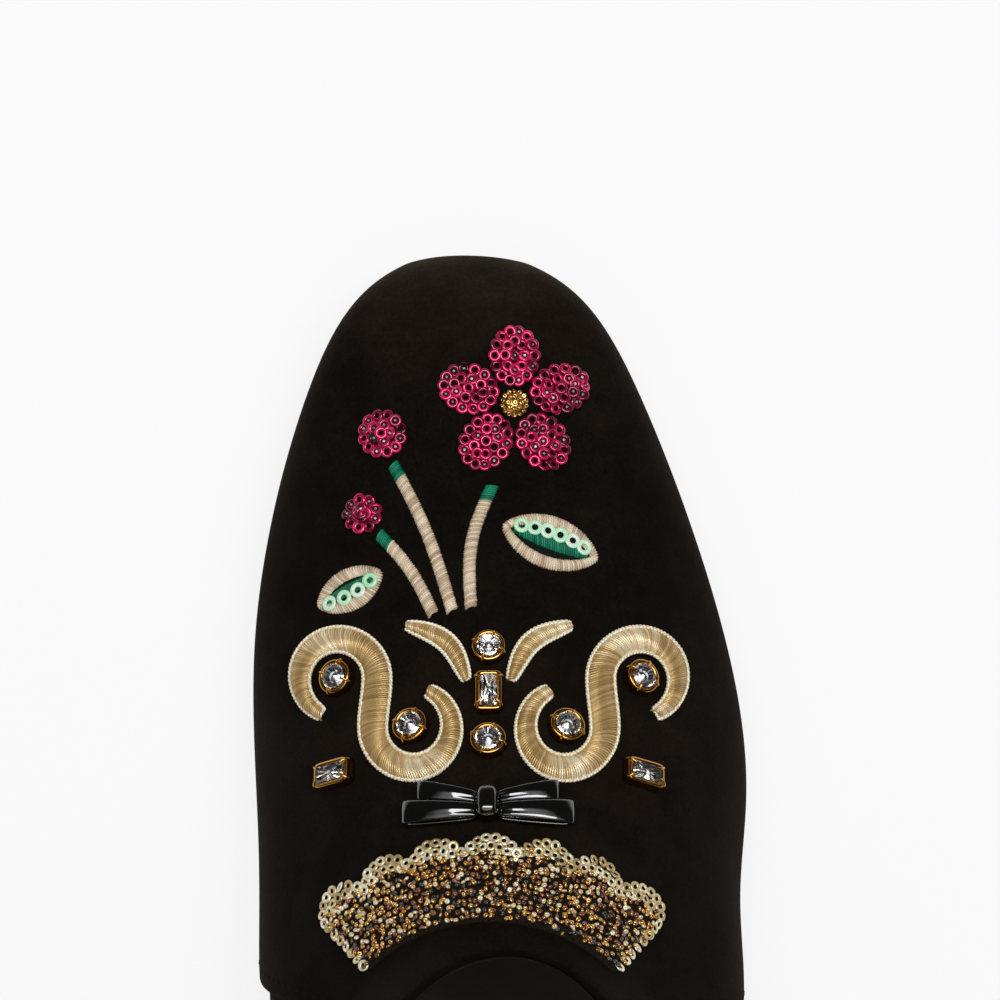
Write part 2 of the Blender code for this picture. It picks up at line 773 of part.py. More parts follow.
def make_crystals(tree, glass, metal):
    """Cut stones, each in a metal cup."""
    for number, (offset, from_toe, half_across, half_along, sides) in enumerate(STONES):
        seat = seat_frame(tree, ORNAMENT_AXIS + offset, from_toe)
        inside = STONE_GAP
        outside = STONE_GAP + CUP_WALL
        floor = SEAT_GAP + 0.5
        rim = SEAT_GAP + CUP_HEIGHT
        cup = ((outside, SEAT_GAP), (outside, rim), (inside, rim), (inside, floor))
        ring_stack("crystal_cup_%d" % (number + 1), seat, cup, sides, half_across, half_along, metal)
        stone = ((-1.0, floor + STONE_GAP), (0.0, rim - 0.2), (0.0, rim + 0.2), (-0.7, rim + 1.0))
        ring_stack("crystal_%d" % (number + 1), seat, stone, sides, half_across, half_along, glass)


def loop_mesh(tree, seat, side, tier, length, width):
    """Points and faces of one flat ribbon loop that lies over the vamp beside the knot."""
    forward = seat[2]
    steps = 12
    inner_end = KNOT_SIZE[0] / 2 + SEAT_GAP
    points = []
    for wall in (0.0, LOOP_WALL):
        for i in range(steps):
            angle = 2 * math.pi * i / steps
            reach = inner_end + length / 2 - (length / 2 - wall) * math.cos(angle)
            spread = min(1.0, (reach - inner_end) / length)
            height = LOOP_LIFT + LOOP_PERK * spread + (LOOP_THICKNESS / 2 - wall) * math.sin(angle)
            flare = LOOP_PINCH + (1 - LOOP_PINCH) * spread
            for edge in (-0.5, 0.5):
                ahead = (tier + edge * width) * flare
                hit, normal = drop(tree, ORNAMENT_AXIS + side * reach, BOW_FROM_TOE - ahead * forward.y)
                points.append(hit + normal * height * MM)
    low_outer = [2 * i for i in range(steps)]
    high_outer = [2 * i + 1 for i in range(steps)]
    low_inner = [2 * steps + 2 * i for i in range(steps)]
    high_inner = [2 * steps + 2 * i + 1 for i in range(steps)]
    walls = ((low_outer, high_outer), (low_inner, high_inner))
    rims = ((low_outer, low_inner), (high_outer, high_inner))
    faces = []
    for one, two in walls + rims:
        faces.extend(strip_faces(one + one[:1], two + two[:1]))
    return points, faces


def make_bow(tree, patent):
    """Bow of two pairs of loops and a knot."""
    seat = seat_frame(tree, ORNAMENT_AXIS, BOW_FROM_TOE)
    for number, (side, tier, length, width) in enumerate(LOOPS):
        points, faces = loop_mesh(tree, seat, side, tier, length, width)
        make_object("bow_loop_%d" % (number + 1), points, faces, patent)
    half_across = KNOT_SIZE[0] / 2
    half_along = KNOT_SIZE[1] / 2
    top = SEAT_GAP + KNOT_SIZE[2]
    rings = ((-0.5, SEAT_GAP + 0.1), (0.0, SEAT_GAP + 1.2), (0.0, top - 1.2), (-0.8, top))
    ring_stack("bow_knot", seat, rings, 8, half_across, half_along, patent)


def make_bead_fan(tree, beadwork):
    """Scalloped beadwork plate round the throat."""
    per_lobe = 4
    columns = FAN_LOBES * per_lobe + 1
    rows = 5
    grid = []
    heights = []
    for r in range(rows):
        share = r / (rows - 1)
        row = []
        row_heights = []
        for c in range(columns):
            turn = math.radians(FAN_HALF_ANGLE) * (2 * c / (columns - 1) - 1)
            lobe = abs(math.sin(math.pi * c / per_lobe)) ** 0.6
            outer = FAN_OUTER - FAN_SCALLOP * (1 - lobe)
            reach = FAN_INNER + (outer - FAN_INNER) * share
            row.append((FAN_CENTRE[0] + reach * math.sin(turn), FAN_CENTRE[1] - reach * math.cos(turn)))
            edge = share in (0.0, 1.0) or c in (0, columns - 1)
            row_heights.append(FAN_EDGE_RISE if edge else FAN_RISE)
        grid.append(row)
        heights.append(row_heights)
    return raised_patch("bead_fan", tree, grid, heights, beadwork)


def make_ornaments(upper):
    """Everything that is sewn on the vamp."""
    tree = vamp_tree(upper)
    sequin = make_material("crimson_sequin", (0.42, 0.02, 0.08), 0.25)
    heart = make_material("gold_bead", (0.60, 0.36, 0.10), 0.3, 1.0)
    taupe = make_material("taupe_thread", (0.58, 0.44, 0.30), 0.6)
    leaf = make_material("mint_sequin", (0.30, 0.75, 0.38), 0.3)
    gold = make_material("gold_thread", (0.62, 0.52, 0.30), 0.45)
    glass = make_material("crystal_glass", (0.90, 0.92, 0.95), 0.03)
    metal = make_material("cup_metal", (0.70, 0.45, 0.15), 0.25, 1.0)
    patent = make_material("black_patent", (0.006, 0.006, 0.006), 0.08)
    beadwork = make_material("bronze_beads", (0.22, 0.11, 0.04), 0.3, 0.6)
    make_blossom(tree, sequin, heart, taupe, leaf)
    make_scrolls(tree, gold)
    make_crystals(tree, glass, metal)
    make_bow(tree, patent)
    make_bead_fan(tree, beadwork)


def clear_scene():
    """Removes what the scene starts with."""
    for item in list(bpy.data.objects):
        bpy.data.objects.remove(item)


def main():
    """Builds every piece of the boot."""
    clear_scene()
    suede = make_material("black_suede", (0.006, 0.005, 0.004), 0.95)
    rubber = make_material("sole_rubber", (0.012, 0.011, 0.010), 0.6)
    lining = make_material("black_lining", (0.008, 0.008, 0.008), 0.8)
    upper = make_upper(suede)
    make_outsole(rubber)
    make_heel(rubber)
    make_insole(lining)
    make_ornaments(upper)


main()
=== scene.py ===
"""Looks of the right ankle boot of black suede: fine skins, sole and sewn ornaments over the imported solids.

Lengths are in millimetres until a piece is made. A point of the boot is given by across (lateral side
positive), from_toe (distance behind the toe tip) and height above the floor; world() turns these into
the frame's own directions, with the toe towards +Y. A shape is a triple of points, faces and a shade.
"""

import math

import bmesh
import bpy
import numpy as np
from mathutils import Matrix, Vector, noise
from mathutils.bvhtree import BVHTree

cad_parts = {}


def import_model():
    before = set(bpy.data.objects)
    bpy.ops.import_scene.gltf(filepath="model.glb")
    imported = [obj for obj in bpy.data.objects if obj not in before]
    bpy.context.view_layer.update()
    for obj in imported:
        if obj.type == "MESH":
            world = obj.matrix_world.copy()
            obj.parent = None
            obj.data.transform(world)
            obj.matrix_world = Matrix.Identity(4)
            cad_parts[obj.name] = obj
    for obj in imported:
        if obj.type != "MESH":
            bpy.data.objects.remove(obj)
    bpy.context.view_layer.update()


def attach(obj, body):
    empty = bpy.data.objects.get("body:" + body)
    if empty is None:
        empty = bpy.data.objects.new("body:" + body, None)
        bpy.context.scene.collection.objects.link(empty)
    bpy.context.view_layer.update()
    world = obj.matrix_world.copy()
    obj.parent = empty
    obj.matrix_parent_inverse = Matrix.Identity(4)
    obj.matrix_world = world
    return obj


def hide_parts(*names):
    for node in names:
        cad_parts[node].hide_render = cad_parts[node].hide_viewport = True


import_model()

MM = 0.001
INWARD = {"medial": 1.0, "lateral": -1.0}
PLAIN = 0.5

# Main sizes of the boot, as in the solids
LENGTH = 252.0
FRAME_CENTRE = 125.28
SEAT_GAP = 0.3
SOLE_THICKNESS = 4.5
TOE_SPRING = 8.5
SPRING_START = 58.0
HEEL_RISE = 18.0
RISE_START = 94.0
RISE_END = 206.0
FEATHER_TIP = 2.0
FEATHER_BACK = 249.6
VAMP_WALL = 3.0
LAP_STEP = 1.7
COLLAR_BACK_HEIGHT = 122.0
COLLAR_HALF_WIDTH = 33.5
COLLAR_ARCH = 9.0
TOE_ACROSS = -6.7
THROAT_ACROSS = 1.5
HEEL_ACROSS = -1.8

# Widest outline of the upper seen from above, and how far the sole's edge tucks in under it:
# from_toe, medial, lateral, medial tuck, lateral tuck
OUTLINE = (
    (0.0, -6.7, -6.7, 2.0, 2.0),
    (2.2, -18.0, 6.0, 2.0, 2.0),
    (8.2, -26.3, 15.1, 2.0, 2.0),
    (26.5, -35.8, 26.1, 2.2, 2.2),
    (55.8, -43.3, 37.2, 2.4, 2.4),
    (72.0, -45.1, 41.8, 2.8, 2.6),
    (100.0, -44.6, 45.1, 4.0, 3.0),
    (118.0, -43.9, 43.9, 6.5, 3.9),
    (133.0, -43.8, 44.5, 9.4, 5.7),
    (165.0, -38.8, 39.0, 12.0, 6.5),
    (200.0, -35.6, 33.4, 3.6, 3.0),
    (225.0, -33.6, 30.0, 2.4, 2.4),
    (243.0, -22.8, 19.2, 2.2, 2.2),
    (252.0, -1.8, -1.8, 2.0, 2.0),
)

# Top line of the side view, from the toe's nose up to the throat: from_toe, height
RIDGE = (
    (0.0, 19.0),
    (2.6, 25.4),
    (9.0, 29.4),
    (22.0, 33.0),
    (45.0, 38.0),
    (70.0, 46.5),
    (95.0, 60.5),
    (122.5, 81.0),
)

# Back line of the side view, from the heel seat up to the collar: height, from_toe
BACK = (
    (22.8, 249.6),
    (38.0, 252.0),
    (60.0, 250.4),
    (85.0, 246.4),
    (105.0, 243.4),
    (122.0, 242.6),
)

# Girth sections from the toe tip (share 0) over the heel seat to the back of the collar (share 1):
# share, share of the ridge's length, level of the widest point, power of the crest
GIRTH = (
    (0.00, 0.000, 0.40, 2.4),
    (0.045, 0.066, 0.38, 2.4),
    (0.09, 0.140, 0.36, 2.3),
    (0.18, 0.320, 0.32, 2.15),
    (0.36, 0.645, 0.28, 2.1),
    (0.54, 0.825, 0.29, 2.7),
    (0.72, 0.918, 0.29, 2.8),
    (1.00, 1.000, 0.43, 2.15),
)
HEEL_SHARE = 0.72
BACK_POWER = 2.6
ANKLE_LOW = 34.0
ANKLE_HIGH = 100.0
HEEL_SIDE_START = 200.0
HEEL_SIDE_REACH = 22.0
TOE_ROUND = 1.3
SEAM_LOW = (132.0, 9.0)
SEAM_HIGH = (142.4, 111.0)
SEAM_SKEW = 0.06

# Fine meshes of the skins: sections on the sole and up the back, steps below and above the widest level
OUTER_MESH = (190, 50, 12, 46)
LINING_MESH = (110, 36, 10, 30)
LIP_STEPS = 8
LIP_DEPTHS = (0.5, 1.2, 2.2)
LIP_RISE = 0.55

# Creases of the suede: path seen from above, depth of the trough, its half width
CREASES = (
    (((22.0, 112.0), (25.0, 121.0), (28.5, 130.0)), 0.45, 3.0),
    (((-35.5, 119.0), (-32.0, 124.0), (-27.5, 128.0)), 0.35, 2.8),
    (((-18.0, 116.0), (-8.0, 112.5), (4.0, 112.5)), 0.12, 3.5),
)
UNEVENNESS = 0.22

# Painted light along the boot: how much paler the suede's colour is made at distances behind the toe tip,
# most at the toe
SUEDE_PAINTED_LIGHT = ((3.0, 2.9), (13.0, 1.85), (26.0, 1.25), (58.0, 1.15), (81.0, 1.5), (97.0, 1.5), (117.0, 1.2))
PAINTED_LIGHT_END = 130.0

# Places of the ornaments on the vamp, as in the solids
ORNAMENT_AXIS = -2.0
BLOSSOM_CENTRE = (2.5, 27.5)
PETAL_COUNT = 5
PETAL_START = 54.0
PETAL_DISTANCE = 8.6
PETAL_LENGTH = 10.6
PETAL_WIDTH = 8.8
PETAL_RISE = 1.2
HEART_SIZE = 5.0

# Buds: across, from_toe, size
BUDS = (
    (-21.0, 33.0, 8.4),
    (-24.5, 47.5, 6.8),
)
BUD_RISE = 1.4
STEMS = (
    ((-1.5, 42.5), (-5.0, 52.0), (-5.2, 64.0)),
    ((-19.2, 38.6), (-13.5, 50.0), (-8.6, 64.6)),
    ((-21.6, 51.2), (-16.5, 57.0), (-12.0, 65.2)),
)
STEM_WIDTH = 1.9

# Leaves: across, from_toe, length, width, turn
LEAVES = (
    (9.0, 52.5, 18.0, 8.4, 20.0),
    (-27.0, 61.0, 13.0, 6.4, 150.0),
)
SCROLL_INNER_EYE = (13.5, 85.5)
SCROLL_OUTER_EYE = (26.8, 77.0)
SCROLL_RADIUS = 7.0
SCROLL_WRAP = 250.0
SCROLL_WIDTH = 5.4
LEAFLET = ((4.0, 77.0), (7.5, 70.5), (14.5, 67.5))
LEAFLET_WIDTH = 3.6

# Stones: offset from the ornament axis, from_toe, half size across, half size along, sides
STONES = (
    (0.0, 71.5, 2.1, 2.1, 8),
    (0.0, 79.5, 1.5, 3.0, 4),
    (0.0, 88.0, 2.3, 2.3, 8),
    (13.5, 85.5, 2.3, 2.3, 8),
    (-13.5, 85.5, 2.3, 2.3, 8),
    (26.8, 77.0, 2.3, 2.3, 8),
    (-26.8, 77.0, 2.3, 2.3, 8),
    (27.0, 94.0, 3.0, 1.5, 4),
    (-27.0, 94.0, 3.0, 1.5, 4),
)
ROUND = 8
CUP_WALL = 0.6
CUP_HEIGHT = 1.9
STONE_GAP = 0.3
STONE_RIM = SEAT_GAP + CUP_HEIGHT
CUP_INSIDE = STONE_GAP - 0.22
CUP_OUTSIDE = STONE_GAP + CUP_WALL

# Rings of corners of a cut stone from table to point: share of the size, count, phase, height over the rim
ROUND_CUT = (
    (0.56, 8, 0.5, 1.05),
    (0.82, 8, 0.0, 0.72),
    (1.0, 16, 0.5, 0.2),
    (1.0, 16, 0.5, 0.05),
    (0.55, 8, 0.5, -0.7),
    (0.12, 8, 0.5, -1.05),
)
STEP_CUT = (
    (0.6, 4, 0.5, 1.0),
    (0.84, 4, 0.5, 0.68),
    (1.0, 4, 0.5, 0.2),
    (1.0, 4, 0.5, 0.0),
    (0.7, 4, 0.5, -0.6),
    (0.4, 4, 0.5, -0.95),
)

# Profiles round a stone: growth of its outline, height over the suede
CUP_PROFILE = (
    (-0.6, 0.05),
    (CUP_OUTSIDE, 0.05),
    (CUP_OUTSIDE + 0.1, 0.3),
    (CUP_OUTSIDE, 0.6),
    (CUP_OUTSIDE - 0.08, STONE_RIM - 0.4),
    (CUP_OUTSIDE - 0.05, STONE_RIM - 0.12),
    (CUP_OUTSIDE - 0.2, STONE_RIM + 0.05),
    (CUP_INSIDE + 0.05, STONE_RIM),
    (CUP_INSIDE, STONE_RIM - 0.2),
    (CUP_INSIDE - 0.5, 0.7),
    (CUP_INSIDE - 1.2, 0.65),
)
FOIL_PROFILE = (
    (CUP_INSIDE - 0.02, STONE_RIM - 0.35),
    (CUP_INSIDE - 0.5, STONE_RIM - 1.0),
    (CUP_INSIDE - 1.15, STONE_RIM - 1.15),
)
CLAW_PATH = (
    (CUP_OUTSIDE - 0.05, 0.4),
    (CUP_OUTSIDE - 0.1, STONE_RIM),
    (0.05, STONE_RIM + 0.55),
    (-0.42, STONE_RIM + 0.62),
)

# Bow loops: side, tier, length, width; the scene's loops stand a little higher than the solids
BOW_FROM_TOE = 99.5
LOOPS = (
    (-1, -2.5, 12.2, 4.4),
    (1, -2.5, 12.2, 4.4),
    (-1, 2.2, 9.8, 3.8),
    (1, 2.2, 9.8, 3.8),
)
LOOP_THICKNESS = 2.8
LOOP_WALL = 0.8
LOOP_LIFT = 1.9
LOOP_PERK = 1.3
LOOP_PINCH = 0.55
LOOP_CAMBER = 0.38
KNOT_SIZE = (4.0, 6.2, 4.6)
FAN_CENTRE = (-1.5, 147.8)
FAN_INNER = 29.5
FAN_OUTER = 44.0
FAN_SCALLOP = 3.2
FAN_LOBES = 7
FAN_HALF_ANGLE = math.radians(46.0)
PALE_LOBE = 0.62

# Profiles of the sole's edge (inset of the feather line, drop) and of the heel (share down, groove)
SOLE_PROFILE = (
    (-0.3, 0.0),
    (-0.65, 0.1),
    (-0.88, 0.4),
    (-0.9, 1.5),
    (-0.6, 1.65),
    (-0.6, 1.85),
    (-0.9, 2.0),
    (-0.88, 3.2),
    (-0.6, 3.9),
    (-0.2, 4.3),
    (0.5, SOLE_THICKNESS),
)
HEEL_PROFILE = (
    (0.0, 0.0),
    (0.08, 0.0),
    (0.3, 0.0),
    (0.5, 0.0),
    (0.71, 0.0),
    (0.73, 0.45),
    (0.76, 0.45),
    (0.78, 0.0),
    (0.9, 0.0),
    (0.97, 0.15),
    (1.0, 0.6),
)

# View from straight above, as in the photograph, in a studio whose brightness is given from table to ceiling
VIEW_WIDTH = 183.0
VIEW_LEVEL = 20.0
VIEW_CENTRE = (0.0, 44.8)
CAMERA_HEIGHT = 1200.0
STUDIO_WALLS = ((0.06, 0.35), (0.16, 0.03), (0.78, 0.03), (0.9, 1.1))


def spline_of(knots, values):
    """Function of the natural cubic spline through the given values."""
    step = np.diff(knots)
    slope = np.diff(values) / step
    last = len(knots) - 1
    matrix = np.eye(last + 1)
    right = np.zeros(last + 1)
    for i in range(1, last):
        matrix[i, i - 1 : i + 2] = step[i - 1], 2 * (step[i - 1] + step[i]), step[i]
        right[i] = 6 * (slope[i] - slope[i - 1])
    bend = np.linalg.solve(matrix, right)

    def value_at(at):
        at = np.clip(at, knots[0], knots[-1])
        i = np.clip(np.searchsorted(knots, at) - 1, 0, last - 1)
        left = knots[i + 1] - at
        passed = at - knots[i]
        width = step[i]
        cubic = (bend[i] * left**3 + bend[i + 1] * passed**3) / (6 * width)
        linear = (values[i] / width - bend[i] * width / 6) * left
        return cubic + linear + (values[i + 1] / width - bend[i + 1] * width / 6) * passed

    return value_at


def ease(value):
    """Smooth step from 0 to 1."""
    value = np.clip(value, 0.0, 1.0)
    return value * value * (3 - 2 * value)


def unit(vectors):
    """Vectors brought to length 1."""
    return vectors / np.maximum(np.linalg.norm(vectors, axis=-1, keepdims=True), 1e-12)


def signed_power(values, power):
    """Power of each value's size, with its sign kept."""
    return np.sign(values) * np.abs(values) ** power


def turns(count, phase=0.0):
    """Angles spread evenly round a circle."""
    return 2 * math.pi * (np.arange(count) + phase) / count


def circle(angles):
    """Points of the unit circle."""
    return np.stack([np.cos(angles), np.sin(angles)], axis=-1)


def world(points):
    """Points given as across, from_toe and height, turned into the frame's directions."""
    points = np.array(points, float)
    points[..., 1] = FRAME_CENTRE - points[..., 1]
    return points


def travel_of(points):
    """Length travelled along a line up to each of its points."""
    return np.concatenate([[0.0], np.cumsum(np.linalg.norm(np.diff(points, axis=0), axis=1))])


def spread_path(points, count):
    """Evenly spread places along a smooth line through the given ones."""
    points = np.array(points, float)
    travel = travel_of(points)
    fine = np.linspace(0.0, travel[-1], count)
    return np.stack([spline_of(travel, line)(fine) for line in points.T], axis=1)


def resample(points, spacing):
    """Places a fixed distance apart along a line of points."""
    travel = travel_of(points)
    fine = np.linspace(0.0, travel[-1], max(2, int(round(travel[-1] / spacing)) + 1))
    return np.stack([np.interp(fine, travel, line) for line in points.T], axis=1)


def loop_angle(travelled, whole):
    """Angle that runs from 0 at the toe to pi at the heel."""
    return np.arccos(np.clip(1 - 2 * travelled / whole, -1.0, 1.0))


OUTLINE_COLUMNS = np.array(OUTLINE).T
OUTLINE_ANGLES = loop_angle(OUTLINE_COLUMNS[0], LENGTH)
OUTLINE_LINE = {side: spline_of(OUTLINE_ANGLES, OUTLINE_COLUMNS[k]) for k, side in enumerate(INWARD, 1)}
TUCK = dict(zip(INWARD, OUTLINE_COLUMNS[3:]))


def feather_at(from_toe, side, inset=0.0):
    """The line where upper and sole meet, on one side."""
    tip = FEATHER_TIP + inset
    angle = loop_angle(from_toe - tip, FEATHER_BACK - inset - tip)
    tuck = np.interp(angle, OUTLINE_ANGLES, TUCK[side]) + inset
    return OUTLINE_LINE[side](angle) + INWARD[side] * tuck * np.minimum(1.0, 1.5 * np.sin(angle))


def sole_top(from_toe):
    """Height of the outsole's upper face."""
    spring = TOE_SPRING * np.maximum(0.0, 1 - from_toe / SPRING_START) ** 2
    return SOLE_THICKNESS + spring + HEEL_RISE * ease((from_toe - RISE_START) / (RISE_END - RISE_START))


def feather_height(from_toe):
    """Height of the upper's lower edge, seated on the outsole."""
    return sole_top(from_toe) + SEAT_GAP


RIDGE_POINTS = np.array([(FEATHER_TIP, feather_height(FEATHER_TIP)), *RIDGE])
RIDGE_TRAVEL = travel_of(RIDGE_POINTS)
RIDGE_LINES = [spline_of(RIDGE_TRAVEL, line) for line in RIDGE_POINTS.T]
GIRTH_COLUMNS = np.array(GIRTH).T
GIRTH_LINES = [spline_of(GIRTH_COLUMNS[0], values) for values in GIRTH_COLUMNS[1:]]
BACK_LINE = spline_of(*np.array(BACK).T)
SEAM_POINT = world((0.0, *SEAM_LOW))
SEAM_SLOPE = (SEAM_HIGH[0] - SEAM_LOW[0]) / (SEAM_HIGH[1] - SEAM_LOW[1])
SEAM_HEADING = unit(np.array([-SEAM_SKEW, -1.0, -SEAM_SLOPE]))


def ridge_raw(travel):
    """Side-view point on the ridge at a length along it."""
    return np.array([line(travel) for line in RIDGE_LINES])


def ridge_at(travel, inset):
    """Side-view point on the ridge, moved inward by the inset."""
    step = 0.2
    along = unit(ridge_raw(min(travel + step, RIDGE_TRAVEL[-1])) - ridge_raw(max(travel - step, 0.0)))
    return ridge_raw(travel) + inset * np.array([along[1], -along[0]])


def base_point(share, inset):
    """Side-view point where a section starts: on the feather line, or on the back seam."""
    if share <= HEEL_SHARE:
        tip = FEATHER_TIP + inset
        from_toe = tip + (FEATHER_BACK - inset - tip) * (1 - math.cos(math.pi * share / HEEL_SHARE)) / 2
        return np.array([from_toe, feather_height(from_toe)])
    low = feather_height(FEATHER_BACK)
    up_back = 1 - math.cos(math.pi / 2 * (share - HEEL_SHARE) / (1 - HEEL_SHARE))
    height = low + (COLLAR_BACK_HEIGHT - low) * up_back
    return np.array([BACK_LINE(height) - inset, height])


def widest_at(from_toe, height, side, inset):
    """Reach of one side of the upper: the outline from above, drawn in to the collar's width higher up."""
    past = np.maximum(0.0, from_toe - HEEL_SIDE_START)
    held = np.hypot(np.minimum(from_toe, HEEL_SIDE_START), TOE_ROUND)
    held = held + HEEL_SIDE_REACH * (1 - np.exp(-past / HEEL_SIDE_REACH))
    low = OUTLINE_LINE[side](loop_angle(held, LENGTH))
    high = -INWARD[side] * COLLAR_HALF_WIDTH
    drawn = ease((height - ANKLE_LOW) / (ANKLE_HIGH - ANKLE_LOW))
    return low + (high - low) * drawn + INWARD[side] * inset


def half_section(share, side, inset, low_steps, high_steps):
    """Points of one side of a girth section, from the base up to the ridge."""
    ridge_share, level, power = (line(share) for line in GIRTH_LINES)
    base = base_point(share, inset)
    ridge = ridge_at(ridge_share * RIDGE_TRAVEL[-1], inset)
    start = feather_at(base[0], side, inset) if share < HEEL_SHARE else HEEL_ACROSS
    crest = TOE_ACROSS + (THROAT_ACROSS - TOE_ACROSS) * ease(ridge_share)
    arch = COLLAR_ARCH * ease((share - HEEL_SHARE) / (1 - HEEL_SHARE))
    low = np.linspace(0.0, math.pi / 2, low_steps, endpoint=False)
    high = np.linspace(0.0, math.pi / 2, high_steps + 1)
    up_low = level * (1 - np.cos(low) ** (2 / BACK_POWER))
    up_high = level + (1 - level) * np.sin(high) ** (2 / power)
    up = np.concatenate([up_low, up_high])
    line = base + up[:, None] * (ridge - base)
    widest = widest_at(*line.T, side, inset)
    across_low = start + (widest[:low_steps] - start) * np.sin(low)
    across_high = crest + (widest[low_steps:] - crest) * np.cos(high)
    across = np.concatenate([across_low, across_high])
    return np.stack([across, line[:, 0], line[:, 1] + arch * np.sin(math.pi * up)], axis=1)


def girth_row(share, inset, mesh):
    """A girth section from the medial base over the ridge to the lateral base."""
    medial, lateral = (half_section(share, side, inset, *mesh[2:]) for side in INWARD)
    return world(np.concatenate([medial, lateral[-2::-1]]))


def skin_grid(inset, mesh):
    """Skin of the upper as girth rows from toe to collar."""
    on_sole, up_back, low_steps, high_steps = mesh
    shares = [HEEL_SHARE * i / on_sole for i in range(1, on_sole)]
    shares += [HEEL_SHARE + (1 - HEEL_SHARE) * i / up_back for i in range(up_back + 1)]
    tip = FEATHER_TIP + inset
    nose = np.tile(world((TOE_ACROSS, tip, feather_height(tip))), (2 * (low_steps + high_steps) + 1, 1))
    return np.array([nose] + [girth_row(share, inset, mesh) for share in shares])


def crease_shift(grid):
    """Shift of skin points along their outward direction: listed creases and a slight unevenness."""
    crease_floor = 20.0
    uneven_floor = 14.0
    coarseness = 0.045
    flat = grid.reshape(-1, 3)
    shift = np.zeros(len(flat))
    for path, depth, half_width in CREASES:
        line = spread_path(path, 120)
        line[:, 1] = FRAME_CENTRE - line[:, 1]
        apart = np.linalg.norm(flat[:, None, :2] - line[None], axis=2)
        nearest = apart.argmin(axis=1)
        distance = apart.min(axis=1) / half_width
        fade = np.sin(math.pi * (nearest + 0.5) / len(line)) ** 0.8 * ease((flat[:, 2] - crease_floor) / 12.0)
        heading = unit(np.gradient(line, axis=0))[nearest]
        offset = flat[:, :2] - line[nearest]
        aside = offset[:, 0] * heading[:, 1] - offset[:, 1] * heading[:, 0]
        ridge = 0.25 * (1 + np.tanh(aside / half_width)) * np.exp(-(((distance - 2.2) / 1.4) ** 2))
        shift += depth * fade * (ridge - np.exp(-(distance**2)))
    broad = np.array([noise.noise(Vector(point) * coarseness) for point in flat])
    shift += UNEVENNESS * broad * ease((flat[:, 2] - uneven_floor) / 14.0)
    return shift.reshape(grid.shape[:2])


def creased_skin(inset):
    """The upper's outer face over the whole last at an inset, with its creases and a closed back."""
    grid = skin_grid(inset, OUTER_MESH)
    normals = unit(np.cross(np.gradient(grid, axis=1), np.gradient(grid, axis=0)))
    outward = np.sign(normals[len(grid) // 2, grid.shape[1] // 2, 2])
    grid = grid + outward * normals * crease_shift(grid)[..., None]
    closed = np.abs(grid[:, 0, 0] - grid[:, -1, 0]) < 0.5
    grid[closed, 0] = grid[closed, -1] = (grid[closed, 0] + grid[closed, -1]) / 2
    return grid


def grid_faces(rows, columns, wrap=False):
    """Quads of a grid of points numbered row by row; wrap joins the last column to the first."""
    number = np.arange(rows * columns).reshape(rows, columns)
    if wrap:
        number = np.hstack([number, number[:, :1]])
    corners = (number[:-1, :-1], number[:-1, 1:], number[1:, 1:], number[1:, :-1])
    return np.stack(corners, axis=2).reshape(-1, 4).tolist()


SKIN = creased_skin(0.0)
SKIN_TREE = BVHTree.FromPolygons(SKIN.reshape(-1, 3).tolist(), grid_faces(*SKIN.shape[:2]))


def stacked(rows, shade=PLAIN, caps=2):
    """Shape of a wall through closed rows of points, with none, the first or both of its ends capped."""
    count, columns = np.shape(rows)[:2]
    faces = grid_faces(count, columns, True)
    if caps > 0:
        faces.append(list(range(columns)))
    if caps > 1:
        faces.append(list(range(count * columns))[: -columns - 1 : -1])
    return np.reshape(rows, (-1, 3)), faces, shade


def tube(path, radius, sides, normal, shade=PLAIN):
    """Capped round tube along a path; normal is any direction not along it."""
    along = unit(np.gradient(path, axis=0))
    aside = unit(np.cross(along, normal))
    up = np.cross(aside, along)
    angles = turns(sides)[None, :, None]
    ring = np.cos(angles) * aside[:, None] + np.sin(angles) * up[:, None]
    return stacked(path[:, None] + np.broadcast_to(radius, len(path))[:, None, None] * ring, shade)


def place_object(name, data):
    """A new object in the scene."""
    item = bpy.data.objects.new(name, data)
    bpy.context.scene.collection.objects.link(item)
    return item


def finish_piece(shape, mesh, material, nodes=(), smooth=True):
    """Turns a bmesh in metres into a piece that rides on the boot, for its solids."""
    for face in shape.faces:
        face.smooth = smooth
    shape.to_mesh(mesh)
    shape.free()
    mesh.materials.append(MATERIALS[material])
    item = place_object(mesh.name, mesh)
    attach(item, "root")
    if nodes:
        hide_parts(*nodes)
    return item


def make_skin(name, shape, material, nodes=()):
    """A piece from a bmesh in millimetres."""
    for corner in shape.verts:
        corner.co = corner.co * MM
    finish_piece(shape, bpy.data.meshes.new(name), material, nodes)


def make_piece(name, shapes, material, nodes=(), smooth=True):
    """A piece from shapes, each closed or facing outward."""
    sizes = [len(points) for points, _, _ in shapes]
    faces = []
    for (_, own_faces, _), start in zip(shapes, np.cumsum([0] + sizes).tolist()):
        faces.extend([start + i for i in face] for face in own_faces)
    mesh = bpy.data.meshes.new(name)
    mesh.from_pydata((np.concatenate([points for points, _, _ in shapes]) * MM).tolist(), [], faces)
    mesh.validate()
    shades = np.repeat([shade for _, _, shade in shapes], sizes).astype(np.float32)
    mesh.attributes.new("shade", "FLOAT", "POINT").data.foreach_set("value", shades)
    shape = bmesh.new()
    shape.from_mesh(mesh)
    bmesh.ops.remove_doubles(shape, verts=shape.verts, dist=0.0005 * MM)
    bmesh.ops.recalc_face_normals(shape, faces=shape.faces)
    return finish_piece(shape, mesh, material, nodes, smooth)


